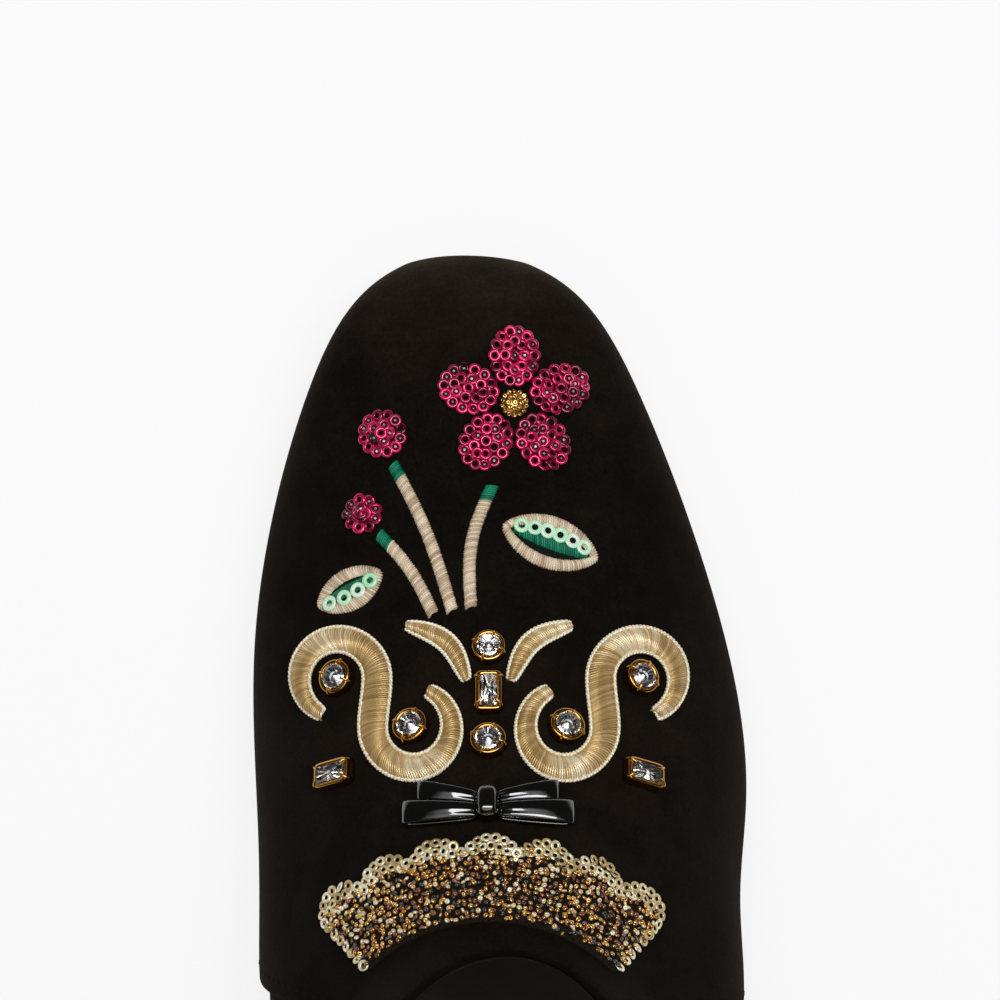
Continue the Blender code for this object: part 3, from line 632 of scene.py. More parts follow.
class Paint:
    """The node tree of a material or a world, and what builds it."""

    def __init__(self, owner):
        owner.use_nodes = True
        self.tree = owner.node_tree
        self.shader = self.tree.nodes.get("Principled BSDF")

    def feed(self, node, **inputs):
        """Sets or links a node's inputs, with underscores for the spaces in their names."""
        for name, value in inputs.items():
            socket = node.inputs[name.replace("_", " ")]
            if isinstance(value, bpy.types.NodeSocket):
                self.tree.links.new(value, socket)
            else:
                socket.default_value = value

    def add(self, kind, **inputs):
        """A new node."""
        node = self.tree.nodes.new("ShaderNode" + kind)
        self.feed(node, **inputs)
        return node

    def noise(self, scale, detail, roughness):
        """Noise fixed to the object."""
        place = self.add("TexCoord").outputs["Object"]
        texture = self.add("TexNoise", Vector=place, Scale=scale, Detail=detail, Roughness=roughness)
        return texture.outputs["Fac"]

    def part(self, space, axis):
        """One part of a texture coordinate."""
        return self.add("SeparateXYZ", Vector=self.add("TexCoord").outputs[space]).outputs[axis]

    def along_boot(self, start, end):
        """Number that runs from 0 to 1 between two distances behind the toe tip."""
        ends = {"From_Min": (FRAME_CENTRE - start) * MM, "From_Max": (FRAME_CENTRE - end) * MM}
        return self.add("MapRange", Value=self.part("Object", "Y"), **ends).outputs["Result"]

    def ramp(self, source, stops, blend="LINEAR"):
        """Colour ramp; stops are pairs of position and linear colour."""
        node = self.add("ValToRGB", Fac=source)
        node.color_ramp.interpolation = blend
        elements = node.color_ramp.elements
        while len(elements) < len(stops):
            elements.new(0.5)
        for element, (position, colour) in zip(elements, stops):
            element.position = position
            element.color = (*colour, 1.0)
        return node.outputs["Color"]

    def bump(self, height, strength, distance, **before):
        """Bump from a height, laid over an earlier one given as Normal."""
        node = self.add("Bump", Height=height, Strength=strength, Distance=distance, **before)
        return node.outputs["Normal"]

    def times(self, first, second, share=1.0):
        """Product of two colours, mixed in by a share."""
        node = self.add("Mix")
        node.data_type = "RGBA"
        node.blend_type = "MULTIPLY"
        self.feed(node, A=first, B=second, Factor=share)
        return node.outputs["Result"]


MATERIALS = {}


def new_paint(name):
    """A new material, kept by its name."""
    MATERIALS[name] = bpy.data.materials.new(name)
    return Paint(MATERIALS[name])


def suede_material():
    """Near-black warm suede: brushed patches, painted light that makes it paler along the boot and on the
    toe's steep sides, fine fibre and a faint sheen.
    """
    paint = new_paint("black_suede")
    nap = paint.noise(1500.0, 3.0, 0.6)
    patches = ((0.3, (0.0041, 0.0029, 0.0019)), (0.72, (0.0086, 0.0063, 0.0043)))
    brushed = paint.ramp(paint.noise(95.0, 5.0, 0.62), patches)
    grain = paint.ramp(nap, ((0.3, (0.70, 0.68, 0.66)), (0.75, (1.2, 1.18, 1.16))))
    # Painted light: the suede's colour is made paler by distance behind the toe tip, most at the toe
    painted_light_stops = tuple((from_toe / PAINTED_LIGHT_END, (tone, tone, 1.03 * tone)) for from_toe, tone in SUEDE_PAINTED_LIGHT)
    painted_light = paint.ramp(paint.along_boot(0.0, PAINTED_LIGHT_END), painted_light_stops, "EASE")
    # Painted rim light: the toe's steep sides are made up to about twice as pale, fading out between 36 and
    # 62 mm behind the toe tip
    walls = paint.ramp(paint.part("Normal", "Z"), ((0.12, (2.1, 2.1, 2.15)), (0.62, (1.0, 1.0, 1.0))))
    colour = paint.times(paint.times(brushed, grain), painted_light)
    colour = paint.times(colour, walls, paint.along_boot(62.0, 36.0))
    rough = paint.bump(nap, 0.35, 0.0004)
    fine = paint.bump(paint.noise(4200.0, 2.0, 0.5), 0.4, 0.00015, Normal=rough)
    paint.feed(paint.shader, Base_Color=colour, Normal=fine, Roughness=0.95, Specular_IOR_Level=0.03)
    paint.feed(paint.shader, Sheen_Weight=0.015, Sheen_Roughness=0.45, Sheen_Tint=(1.0, 0.8, 0.62, 1.0))


def grained_material(name, clouds, stops, bump=(), grain=None, **finish):
    """Material with a cloudy colour from one noise and a fine bump from the same or another one."""
    paint = new_paint(name)
    source = paint.noise(*clouds)
    paint.feed(paint.shader, Base_Color=paint.ramp(source, stops), **finish)
    if bump:
        paint.feed(paint.shader, Normal=paint.bump(paint.noise(*grain) if grain else source, *bump))
    return paint


def lining_material(name, dark, light):
    """Lining leather with a fine grain."""
    finish = {"Roughness": 0.85, "Specular_IOR_Level": 0.04}
    stops = ((0.3, dark), (0.7, light))
    grained_material(name, (60.0, 3.0, 0.5), stops, (0.3, 0.0003), (900.0, 4.0, 0.6), **finish)


def felt_material(name, dark, light):
    """Backing cloth under beads and sequins."""
    finish = {"Roughness": 0.95, "Specular_IOR_Level": 0.1}
    grained_material(name, (2200.0, 3.0, 0.6), ((0.3, dark), (0.7, light)), (0.5, 0.0003), **finish)


def rubber_material(name):
    """Black sole rubber."""
    stops = ((0.3, (0.0055, 0.0050, 0.0046)), (0.75, (0.0115, 0.0105, 0.0098)))
    finish = {"Roughness": 0.55, "Specular_IOR_Level": 0.3}
    return grained_material(name, (700.0, 4.0, 0.6), stops, (0.25, 0.0003), **finish)


def tread_material():
    """Sole rubber with the fine ribs of the walking face."""
    paint = rubber_material("tread_rubber")
    wave = paint.add("TexWave", Vector=paint.add("TexCoord").outputs["Object"], Scale=48.0, Distortion=0.0)
    wave.wave_type = "BANDS"
    wave.bands_direction = "Y"
    wave.wave_profile = "TRI"
    before = paint.shader.inputs["Normal"].links[0].from_socket
    paint.feed(paint.shader, Normal=paint.bump(wave.outputs["Fac"], 0.8, 0.0012, Normal=before))


def patent_material():
    """Black patent leather with a faint ripple under the gloss."""
    stops = ((0.3, (0.0018, 0.0016, 0.0015)), (0.7, (0.0038, 0.0034, 0.0030)))
    finish = {"Roughness": 0.1, "Coat_Weight": 1.0, "Coat_Roughness": 0.03, "Coat_IOR": 1.7}
    grained_material("black_patent", (260.0, 2.0, 0.5), stops, (0.12, 0.0006), **finish)


def crystal_material():
    """Clear cut glass."""
    stops = ((0.2, (0.86, 0.88, 0.92)), (0.8, (1.0, 1.0, 1.0)))
    finish = {"Roughness": 0.02, "IOR": 1.58, "Transmission_Weight": 1.0}
    grained_material("crystal_glass", (400.0, 2.0, 0.5), stops, **finish)


def shaded_material(name, colours, roughness, middle=0.5, grain=0.0, **finish):
    """Material whose colour follows each point's shade from dark to pale, with a fine grain."""
    paint = new_paint(name)
    shade = paint.add("Attribute")
    shade.attribute_name = "shade"
    places = (0.0, 1.0) if len(colours) == 2 else (0.0, middle, 1.0)
    colour = paint.ramp(shade.outputs["Fac"], tuple(zip(places, colours)))
    paint.feed(paint.shader, Base_Color=colour, Roughness=roughness, **finish)
    if grain:
        paint.feed(paint.shader, Normal=paint.bump(paint.noise(3800.0, 2.0, 0.5), grain, 0.0002))


def thread_materials():
    """Embroidery threads and cords."""
    taupe = ((0.46, 0.33, 0.21), (0.72, 0.57, 0.40), (0.92, 0.80, 0.62))
    green = ((0.0, 0.10, 0.055), (0.005, 0.30, 0.16))
    satin = ((0.36, 0.225, 0.080), (0.62, 0.42, 0.165), (0.98, 0.86, 0.62))
    bright = ((0.72, 0.58, 0.32), (0.92, 0.82, 0.58), (1.0, 0.96, 0.80))
    shaded_material("taupe_thread", taupe, 0.5, grain=0.4, Specular_IOR_Level=0.35)
    shaded_material("green_thread", green, 0.45, grain=0.4, Specular_IOR_Level=0.35)
    shaded_material("gold_thread", satin, 0.32, 0.45, 0.2, Metallic=0.4, Specular_IOR_Level=0.6)
    shaded_material("bright_cord", bright, 0.32, grain=0.2, Metallic=0.2, Specular_IOR_Level=0.6)


def sequin_materials():
    """Ring sequins and the knots that hold them."""
    crimson = ((0.06, 0.001, 0.014), (0.42, 0.006, 0.068), (0.92, 0.02, 0.155))
    mint = ((0.44, 0.90, 0.52), (0.78, 1.0, 0.80))
    pale = ((0.50, 0.36, 0.15), (0.80, 0.66, 0.36), (0.98, 0.92, 0.70))
    glint = ((0.08, 0.06, 0.07), (0.35, 0.33, 0.34), (0.92, 0.90, 0.92))
    shaded_material("crimson_sequin", crimson, 0.22, Metallic=0.45, Coat_Weight=0.35)
    shaded_material("mint_sequin", mint, 0.3, Coat_Weight=0.4)
    shaded_material("pale_sequin", pale, 0.28, 0.6, Metallic=0.45, Coat_Weight=0.5)
    shaded_material("sequin_knot", glint, 0.15, 0.6, Coat_Weight=1.0)


def bead_materials():
    """Seed beads of the heart and the fan."""
    heart = ((0.40, 0.19, 0.04), (0.80, 0.50, 0.15))
    gold = ((0.48, 0.23, 0.05), (0.86, 0.54, 0.17))
    bronze = ((0.12, 0.045, 0.015), (0.36, 0.15, 0.06))
    black = ((0.006, 0.005, 0.004), (0.03, 0.026, 0.022))
    cream = ((0.70, 0.52, 0.26), (0.95, 0.84, 0.58))
    shaded_material("gold_bead", heart, 0.2, Metallic=0.9, Coat_Weight=0.5)
    shaded_material("gold_seed", gold, 0.22, Metallic=0.85, Coat_Weight=0.5)
    shaded_material("bronze_seed", bronze, 0.22, Metallic=0.7, Coat_Weight=0.6)
    shaded_material("black_seed", black, 0.1, Coat_Weight=1.0)
    shaded_material("cream_seed", cream, 0.25, Metallic=0.3, Coat_Weight=0.6)


def setting_materials():
    """Gilt cups and silver foils of the stones."""
    gilt = ((0.36, 0.16, 0.03), (0.72, 0.40, 0.11))
    silver = ((0.88, 0.88, 0.91), (1.0, 1.0, 1.0))
    shaded_material("cup_metal", gilt, 0.2, grain=0.05, Metallic=1.0)
    shaded_material("silver_foil", silver, 0.14, Metallic=1.0)


def make_materials():
    """All materials of the boot."""
    suede_material()
    lining_material("black_lining", (0.008, 0.0062, 0.0046), (0.015, 0.0118, 0.009))
    lining_material("sock_leather", (0.062, 0.049, 0.037), (0.098, 0.079, 0.062))
    rubber_material("sole_rubber")
    tread_material()
    felt_material("seam_thread", (0.0026, 0.0020, 0.0015), (0.0065, 0.0050, 0.0038))
    felt_material("crimson_felt", (0.006, 0.0005, 0.0015), (0.03, 0.001, 0.006))
    felt_material("leaf_felt", (0.004, 0.005, 0.003), (0.010, 0.016, 0.010))
    felt_material("fan_felt", (0.004, 0.003, 0.002), (0.02, 0.014, 0.009))
    patent_material()
    crystal_material()
    thread_materials()
    sequin_materials()
    bead_materials()
    setting_materials()


def collar_lip(skin, inset):
    """Rows that round a skin's collar edge over to an inset and a little way down inside."""
    up = unit(skin[-1] - skin[-2])
    inner = girth_row(1.0, inset, OUTER_MESH)
    middle = (skin[-1] + inner) / 2
    half = (skin[-1] - inner) / 2
    size = np.minimum(np.linalg.norm(half, axis=1, keepdims=True), LIP_RISE)
    angles = math.pi * np.arange(1, LIP_STEPS + 1) / LIP_STEPS
    rows = [middle + half * math.cos(angle) + up * size * math.sin(angle) for angle in angles]
    return np.array(rows + [inner - up * depth for depth in LIP_DEPTHS])


def fold_rows(edge, normals):
    """Rows that turn the vamp's cut edge down onto the quarters with a small round."""
    round_size = 0.6
    deeper = 0.42
    ahead = unit(SEAM_HEADING - normals * (normals @ SEAM_HEADING)[:, None])
    rows = []
    for k in range(1, LIP_STEPS + len(LIP_DEPTHS) + 1):
        angle = math.pi / 2 * min(1.0, k / LIP_STEPS)
        below = round_size * (1 - math.cos(angle)) + deeper * max(0, k - LIP_STEPS)
        rows.append(edge + ahead * round_size * math.sin(angle) - normals * below)
    return rows


def turn_under(grid):
    """The skin grid with its lower edges turned in under the boot."""
    tuck = 1.6
    sink = 0.22
    width = grid[:, -1, 0] - grid[:, 0, 0]
    on_sole = width > 0.5
    rims = []
    for end, inward in ((0, 1.0), (-1, -1.0)):
        rim = grid[:, end].copy()
        rim[on_sole, 0] += inward * np.minimum(tuck, width[on_sole] / 3)
        rim[on_sole, 2] -= sink
        rims.append(rim[:, None])
    return np.concatenate([rims[0], grid, rims[1]], axis=1)


def face_outward(shape):
    """Joins doubled corners and turns the faces of a skin outward."""
    bmesh.ops.remove_doubles(shape, verts=shape.verts, dist=0.002)
    bmesh.ops.dissolve_degenerate(shape, edges=shape.edges, dist=0.0005)
    bmesh.ops.recalc_face_normals(shape, faces=shape.faces)
    shape.normal_update()
    middle = Vector(world((0.0, 150.0, 20.0)))
    outward = 0.0
    for face in shape.faces:
        outward += (face.calc_center_median() - middle).dot(face.normal) * face.calc_area()
    if outward < 0:
        bmesh.ops.reverse_faces(shape, faces=shape.faces)
    shape.normal_update()
    return shape


def skin_shape(grid):
    """Bmesh of a skin grid, facing outward."""
    shape = bmesh.new()
    corners = [shape.verts.new(point) for point in grid.reshape(-1, 3)]
    for face in grid_faces(*grid.shape[:2]):
        shape.faces.new([corners[i] for i in face])
    return face_outward(shape)


def cut_at_seam(shape, forward, front):
    """Keeps the part before or behind the seam; gives the cut's corners on each side, from the sole up."""
    whole = list(shape.verts) + list(shape.edges) + list(shape.faces)
    plane = {"plane_co": SEAM_POINT - forward * SEAM_HEADING, "plane_no": SEAM_HEADING}
    keep = {"clear_outer": front, "clear_inner": not front}
    cut = bmesh.ops.bisect_plane(shape, geom=whole, dist=0.0001, **plane, **keep)
    shape.normal_update()
    corners = [part for part in cut["geom_cut"] if isinstance(part, bmesh.types.BMVert)]
    corners.sort(key=lambda corner: corner.co.z)
    return [[corner for corner in corners if corner.co.x * side > 0] for side in (-1, 1)]


def add_rows(shape, corners, rows):
    """Strips of faces from a line of corners through rows of further points."""
    for row in rows:
        following = [shape.verts.new(point) for point in row]
        for i in range(len(row) - 1):
            shape.faces.new((corners[i], corners[i + 1], following[i + 1], following[i]))
        corners = following


def throat_lip():
    """Rounded edge of the vamp round the throat, closed where it meets the quarters."""
    past_fold = 0.6
    lip_inset = 2.3
    shape = skin_shape(np.concatenate([SKIN[-1:], collar_lip(SKIN, lip_inset)]))
    for corners in cut_at_seam(shape, -past_fold, True):
        middle = sum((corner.co for corner in corners), Vector()) / len(corners)
        corners.sort(key=lambda corner: math.atan2(corner.co.z - middle.z, corner.co.x - middle.x))
        shape.faces.new(corners)
    mesh = bpy.data.meshes.new("throat_lip")
    shape.to_mesh(mesh)
    shape.free()
    return mesh


def make_vamp():
    """Vamp: the outer skin up to the side seam and the throat, with a folded edge and a rounded throat."""
    shape = skin_shape(turn_under(SKIN))
    for corners in cut_at_seam(shape, 0.0, True):
        edge = np.array([corner.co for corner in corners])
        normals = np.array([corner.normal for corner in corners])
        add_rows(shape, corners, fold_rows(edge, normals))
    lip = throat_lip()
    shape.from_mesh(lip)
    bpy.data.meshes.remove(lip)
    make_skin("vamp_suede", face_outward(shape), "black_suede", ["upper"])


def soften_heel(shape):
    """Smooths the quarters where their sections gather above the heel seat, fading out all round."""
    ahead = FRAME_CENTRE - 180.0
    low = 25.0
    high = 85.0
    most = 0.5
    near = [corner for corner in shape.verts if corner.co.y < ahead and low < corner.co.z < high]
    near = [corner for corner in near if not corner.is_boundary]
    before = [(corner.co.copy(), corner.normal.copy()) for corner in near]
    axes = {"use_axis_" + axis: True for axis in "xyz"}
    for _ in range(16):
        bmesh.ops.smooth_vert(shape, verts=near, factor=0.5, **axes)
    for corner, (start, outward) in zip(near, before):
        fade = ease((ahead - start.y) / 30.0) * ease((start.z - low) / 12.0) * ease((high - start.z) / 30.0)
        shift = max(-most, min(most, (corner.co - start).dot(outward)))
        corner.co = start + outward * shift * float(fade)
    shape.normal_update()


def make_quarters():
    """Quarters: the stepped-back skin behind the side seam, level with the vamp's edge at the collar."""
    tucked = 4.0
    lip_inset = 2.25
    rise = 1.3
    rows = 10
    skin = creased_skin(LAP_STEP)
    near = ease(1 - (skin[-1] - SEAM_POINT) @ SEAM_HEADING / 45.0)
    skin[-rows:, :, 2] += rise * np.linspace(0.0, 1.0, rows)[:, None] ** 2 * near
    shape = skin_shape(turn_under(np.concatenate([skin, collar_lip(skin, lip_inset)])))
    cut_at_seam(shape, tucked, False)
    soften_heel(shape)
    make_skin("quarters_suede", shape, "black_suede")


def make_lining():
    """Lining on the inside of the whole upper, with its own rounded top edge."""
    edge_inset = 2.6
    below_edge = 1.6
    grid = skin_grid(VAMP_WALL, LINING_MESH)
    edge = girth_row(1.0, edge_inset, LINING_MESH)
    up = unit(grid[-1] - grid[-2])
    rows = []
    for angle in math.pi / 2 * np.arange(1, 5) / 4:
        rows.append(grid[-1] + (edge - grid[-1]) * (1 - math.cos(angle)) + up * LIP_RISE * math.sin(angle))
    shape = skin_shape(np.concatenate([grid, rows, [edge - up * below_edge]]))
    bmesh.ops.reverse_faces(shape, faces=shape.faces)
    make_skin("lining_shell", shape, "black_lining")


def make_seam_stitches():
    """Row of stitches along the vamp's folded edge."""
    from_edge = 2.2
    spacing = 2.7
    bend = 0.86 * np.array([0.04, 0.2, 0.5, 0.8, 0.96])[:, None]
    lift = np.array([-0.25, -0.05, -0.02, -0.05, -0.25])[:, None]
    radius = np.array([0.1, 0.16, 0.18, 0.16, 0.1])
    shape = skin_shape(SKIN)
    stitches = []
    for corners in cut_at_seam(shape, from_edge, True):
        both = resample(np.array([[*corner.co, *corner.normal] for corner in corners]), spacing)
        for here, after in zip(both[:-1], both[1:]):
            path = here[:3] + bend * (after[:3] - here[:3]) + lift * here[3:]
            stitches.append(tube(path, radius, 6, here[3:]))
    shape.free()
    make_piece("seam_stitches", stitches, "seam_thread")


def plate(levels, count, across_steps, crown):
    """Plate along the foot; a level is an inset of the feather line and a height function."""
    edges = {side: [] for side in INWARD}
    for inset, height in levels:
        tip = FEATHER_TIP + inset
        passed = (1 - np.cos(math.pi * np.arange(count + 1) / count)) / 2
        from_toe = tip + (FEATHER_BACK - inset - tip) * passed
        for side, rows in edges.items():
            rows.append(np.stack([feather_at(from_toe, side, inset), from_toe, height(from_toe)], axis=1))
    shares = np.linspace(0.0, 1.0, across_steps + 1)[1:-1]
    medial = edges["medial"]
    lateral = edges["lateral"][::-1]
    under = [medial[-1] + (lateral[0] - medial[-1]) * share for share in shares]
    over = [lateral[-1] + (medial[0] - lateral[-1]) * share for share in shares]
    for row, share in zip(over, shares):
        row[:, 2] += crown(row[:, 1]) * (1 - (2 * share - 1) ** 2)
    return stacked(world(np.stack(medial + under + lateral + over, axis=1)), caps=0)


def add_tread(item):
    """Ribbed rubber on the walking face of a piece."""
    item.data.materials.append(MATERIALS["tread_rubber"])
    for face in item.data.polygons:
        face.material_index = int(face.normal.z < -0.9)


def make_outsole():
    """Outsole with rounded edges, a fine groove round its side and a ribbed walking face."""
    levels = [(inset, lambda d, drop=drop: sole_top(d) - drop) for inset, drop in SOLE_PROFILE]
    sole = plate(levels, 150, 10, lambda d: 0.0 * d)
    add_tread(make_piece("outsole_rubber", [sole], "sole_rubber", ["outsole"]))


def make_heel():
    """Heel block with a separate-looking top piece at the floor."""
    breast = 188.0
    margin = 0.2
    length = FEATHER_BACK + margin - breast
    taper = 1.8
    lean = 3.0
    down, groove = np.array(HEEL_PROFILE).T
    share = np.linspace(0.0, 1.0, 49)[:, None]
    passed = np.sin(math.pi / 2 * share)
    from_toe = breast + length * passed
    round_off = np.minimum(1.0, 1.5 * np.sin(loop_angle(from_toe, LENGTH)))
    along = from_toe - lean * passed * down - groove * share**4
    height = (sole_top(from_toe) - SOLE_THICKNESS - SEAT_GAP) * (1 - down)
    sides = []
    for side, inward in INWARD.items():
        across = feather_at(from_toe, side, -margin) + inward * (taper * down + groove) * round_off
        sides.append(np.stack([across, along, height], axis=2))
    rows = world(np.concatenate([sides[0], sides[1][:, ::-1]], axis=1))
    add_tread(make_piece("heel_block", [stacked(rows, caps=1)], "sole_rubber", ["heel"]))


def make_sock():
    """Insole sock with a softly hollowed heel and a rounded edge."""
    thickness = 3.5
    inset = VAMP_WALL + 0.8
    profile = ((0.9, thickness), (0.35, thickness - 0.15), (0.05, thickness - 0.6), (0.0, 1.0), (0.0, 0.0))
    levels = [(inset + more, lambda d, up=up: feather_height(d) + up) for more, up in profile]
    sock = plate(levels, 120, 14, lambda d: -1.2 * ease((d - 190.0) / 30.0))
    make_piece("insole_sock", [sock], "sock_leather", ["insole"])


def drop(across, from_toe):
    """Point and outward direction of the suede straight below a place seen from above."""
    start = Vector((across, FRAME_CENTRE - from_toe, 400.0))
    hit, normal, _, _ = SKIN_TREE.ray_cast(start, Vector((0.0, 0.0, -1.0)))
    return np.array(hit), np.array(normal if normal.z > 0 else -normal)


def lifted(places, heights):
    """Points over the suede at places seen from above, each at its own height."""
    seats = [drop(*place) for place in places]
    return np.array([hit + normal * height for (hit, normal), height in zip(seats, heights)])


def patch(places, rise, shade=PLAIN):
    """Cushioned patch over a grid of places, closed down to the suede round its edge."""
    places = np.pad(places, ((1, 1), (1, 1), (0, 0)), mode="edge")
    rise = np.pad(rise, 1, constant_values=-0.1)
    return lifted(places.reshape(-1, 2), rise.ravel()), grid_faces(*rise.shape), shade


def turned(centre, along, aside, turn):
    """Places along and beside a line that leaves a centre at an angle from the across direction."""
    cosine = math.cos(math.radians(turn))
    sine = math.sin(math.radians(turn))
    across = centre[0] + along * cosine - aside * sine
    return np.stack([across, centre[1] + along * sine + aside * cosine], axis=-1)


def cushion(centre, length, width, turn, count, edge, dome, shade=PLAIN):
    """Oval patch that stands as high as its edge says and domes up in the middle."""
    line = np.linspace(-1.0, 1.0, count + 1)
    u, v = np.meshgrid(line, line, indexing="ij")
    along = u * np.sqrt(1 - v * v / 2) * length / 2
    aside = v * np.sqrt(1 - u * u / 2) * width / 2
    out = np.maximum(np.abs(u), np.abs(v))
    return patch(turned(centre, along, aside, turn), edge + dome * (1 - out**2), shade)


def oval_layout(centre, length, width, turn, edge, spacing):
    """Places in nested rings inside an oval."""
    half_length = length / 2 - edge
    half_width = width / 2 - edge
    rings = []
    phase = 0.0
    while half_width > 0.45:
        round_length = 2 * math.pi * math.sqrt((half_length**2 + half_width**2) / 2)
        phase = 0.5 - phase
        angles = turns(max(4, int(round(round_length / spacing))), phase)
        rings.append(turned(centre, half_length * np.cos(angles), half_width * np.sin(angles), turn))
        half_length -= spacing
        half_width -= spacing
    return np.concatenate(rings + [[centre]])


def turned_ring(profile, segments):
    """Small shape turned round its axis; a profile row is a radius and a height."""
    ring = circle(turns(segments))
    rows = [np.column_stack([radius * ring, np.full(segments, height)]) for radius, height in profile]
    return stacked(rows, caps=0)


def ring_sequin(outer, inner, thickness, segments):
    """Ring sequin: a flat ring with a slightly raised middle."""
    inside = (inner, 0.0)
    crest = ((outer + inner) / 2, 1.5 * thickness)
    profile = (inside, (inner, thickness), crest, (outer, 0.8 * thickness), (outer, 0.0), inside)
    return turned_ring(profile, segments)


def seed_bead(radius, thickness, segments, sides):
    """Seed bead: a small fat ring."""
    profile = thickness * circle(np.linspace(0.0, 2 * math.pi, sides + 1))
    return turned_ring(profile + (radius, 0.0), segments)


def sewn(template, place, height, lean, shade):
    """Copy of a template over a place on the suede, leaning off the upright."""
    hit, normal = drop(*place)
    outward = unit(normal + lean)
    aside = unit(np.cross((0.31, 0.95, 0.07), outward))
    points, faces, _ = template
    axes = np.array([aside, np.cross(outward, aside), outward])
    return hit + normal * height + points @ axes, faces, shade


def oval_pieces():
    """The sequined ovals: name of the solid, centre, length, width, turn and rise."""
    for number in range(PETAL_COUNT):
        turn = 360.0 * number / PETAL_COUNT + PETAL_START
        centre = turned(BLOSSOM_CENTRE, PETAL_DISTANCE, 0.0, turn)
        yield "blossom_petal_%d" % (number + 1), centre, PETAL_LENGTH, PETAL_WIDTH, turn, PETAL_RISE
    for number, (across, from_toe, size) in enumerate(BUDS):
        yield "bud_%d" % (number + 1), np.array([across, from_toe]), size, size, 0.0, BUD_RISE


def make_sequins():
    """Petals and buds: ring sequins sewn close together over a dark crimson cushion."""
    chance = np.random.default_rng(11)
    template = ring_sequin(outer=1.2, inner=0.5, thickness=0.16, segments=20)
    knot = seed_bead(radius=0.1, thickness=0.2, segments=8, sides=6)
    knot_share = 0.45
    knots = []
    for name, centre, length, width, turn, rise in oval_pieces():
        base = cushion(centre, length - 0.6, width - 0.6, turn, 18, 0.3 * rise, 0.5 * rise)
        make_piece(name + "_cushion", [base], "crimson_felt", [name])
        rings = []
        for place in oval_layout(centre, length, width, turn, edge=0.85, spacing=1.8):
            far = 2 * math.hypot(*(place - centre) / (length, width))
            height = rise * (0.45 + 0.55 * max(0.0, 1 - far**2)) + chance.uniform(0.0, 0.3)
            lean = chance.normal(0.0, 0.16, 3)
            # Painted shade: the more a sequin leans, the darker its colour
            painted_tilt_shade = min(1.0, np.linalg.norm(lean) / 0.6)
            shade = np.clip(chance.uniform(0.25, 1.05) - 0.35 * painted_tilt_shade, 0.0, 1.0)
            rings.append(sewn(template, place, height, lean, shade))
            if chance.random() < knot_share:
                knots.append(sewn(knot, place, height + 0.12, 0.0, chance.random()))
        make_piece(name + "_sequins", rings, "crimson_sequin")
    make_piece("sequin_knots", knots, "sequin_knot")


def make_heart():
    """Blossom heart: gold beads over a small dome."""
    chance = np.random.default_rng(5)
    template = seed_bead(radius=0.28, thickness=0.26, segments=12, sides=8)
    dome = 1.2
    size = HEART_SIZE + 0.4
    beads = []
    for place in oval_layout(BLOSSOM_CENTRE, size, size, 0.0, edge=0.55, spacing=0.98):
        far = 2 * math.hypot(*(place - BLOSSOM_CENTRE)) / HEART_SIZE
        height = 0.5 + dome * max(0.0, 1 - far**2)
        beads.append(sewn(template, place, height, chance.normal(0.0, 0.35, 3), chance.random()))
    beads.append(cushion(BLOSSOM_CENTRE, HEART_SIZE, HEART_SIZE, 0.0, 12, 0.3, dome, shade=0.1))
    make_piece("heart_beads", beads, "gold_bead", ["blossom_heart"])


def path_frames(path):
    """Directions along and beside a path seen from above."""
    along = unit(np.gradient(path, axis=0))
    return along, np.stack([-along[:, 1], along[:, 0]], axis=1)


def band(line, spacing, width, narrow):
    """Path along a line and its half widths, which narrow to a share at both ends."""
    path = resample(line, spacing)
    share = np.arange(len(path)) / (len(path) - 1)
    return path, width / 2 * (narrow + (1 - narrow) * np.sin(math.pi * share) ** 0.7)


def filling(path, half, rise, shade):
    """Padding under a satin-stitched band."""
    offsets = np.linspace(-1.0, 1.0, 9)
    aside = path_frames(path)[1] * half[:, None]
    places = path[:, None] + aside[:, None] * offsets[None, :, None]
    heights = np.broadcast_to(rise * (0.25 + 0.75 * (1 - offsets**2)), places.shape[:2])
    return patch(places, heights, shade)


def satin(path, half, rise, slant, chance, low=0.1, high=1.0, shimmer=0.0, radius=0.25):
    """Threads laid side by side across a band, shaded from low to high, paler along the light."""
    lit_along = np.array([0.5, 0.866])
    offsets = np.array([-1.06, -0.9, -0.6, -0.2, 0.2, 0.6, 0.9, 1.06])
    crest = np.maximum(0.0, 1 - np.minimum(1.0, np.abs(offsets)) ** 2) ** 0.6
    for here, ahead, beside, reach in zip(path, *path_frames(path), half):
        across = beside + slant * ahead
        places = here + offsets[:, None] * reach * chance.uniform(0.95, 1.05) * across
        line = lifted(places, 0.05 + (rise + chance.uniform(-0.05, 0.05)) * crest)
        lit = shimmer * (unit(across) @ lit_along) ** 4
        yield tube(line, radius, 5, (0.0, 0.15, 1.0), chance.uniform(low, high) + lit)


def twisted_cord(path, chance):
    """Two-strand twisted cord laid along a path on the suede."""
    height = 0.55
    size = 0.36
    pitch = 1.5
    path = resample(path, 0.24)
    line = lifted(path, np.full(len(path), height))
    along = unit(np.gradient(line, axis=0))
    aside = unit(np.cross(along, (0.0, 0.0, 1.0)))
    up = np.cross(aside, along)
    for strand in (0.0, math.pi):
        turn = (2 * math.pi * travel_of(line) / pitch + strand)[:, None]
        twist = 0.5 * size * (np.cos(turn) * aside + np.sin(turn) * up)
        yield tube(line + twist, 0.62 * size, 6, (0.1, 0.2, 1.0), chance.uniform(0.3, 1.0))


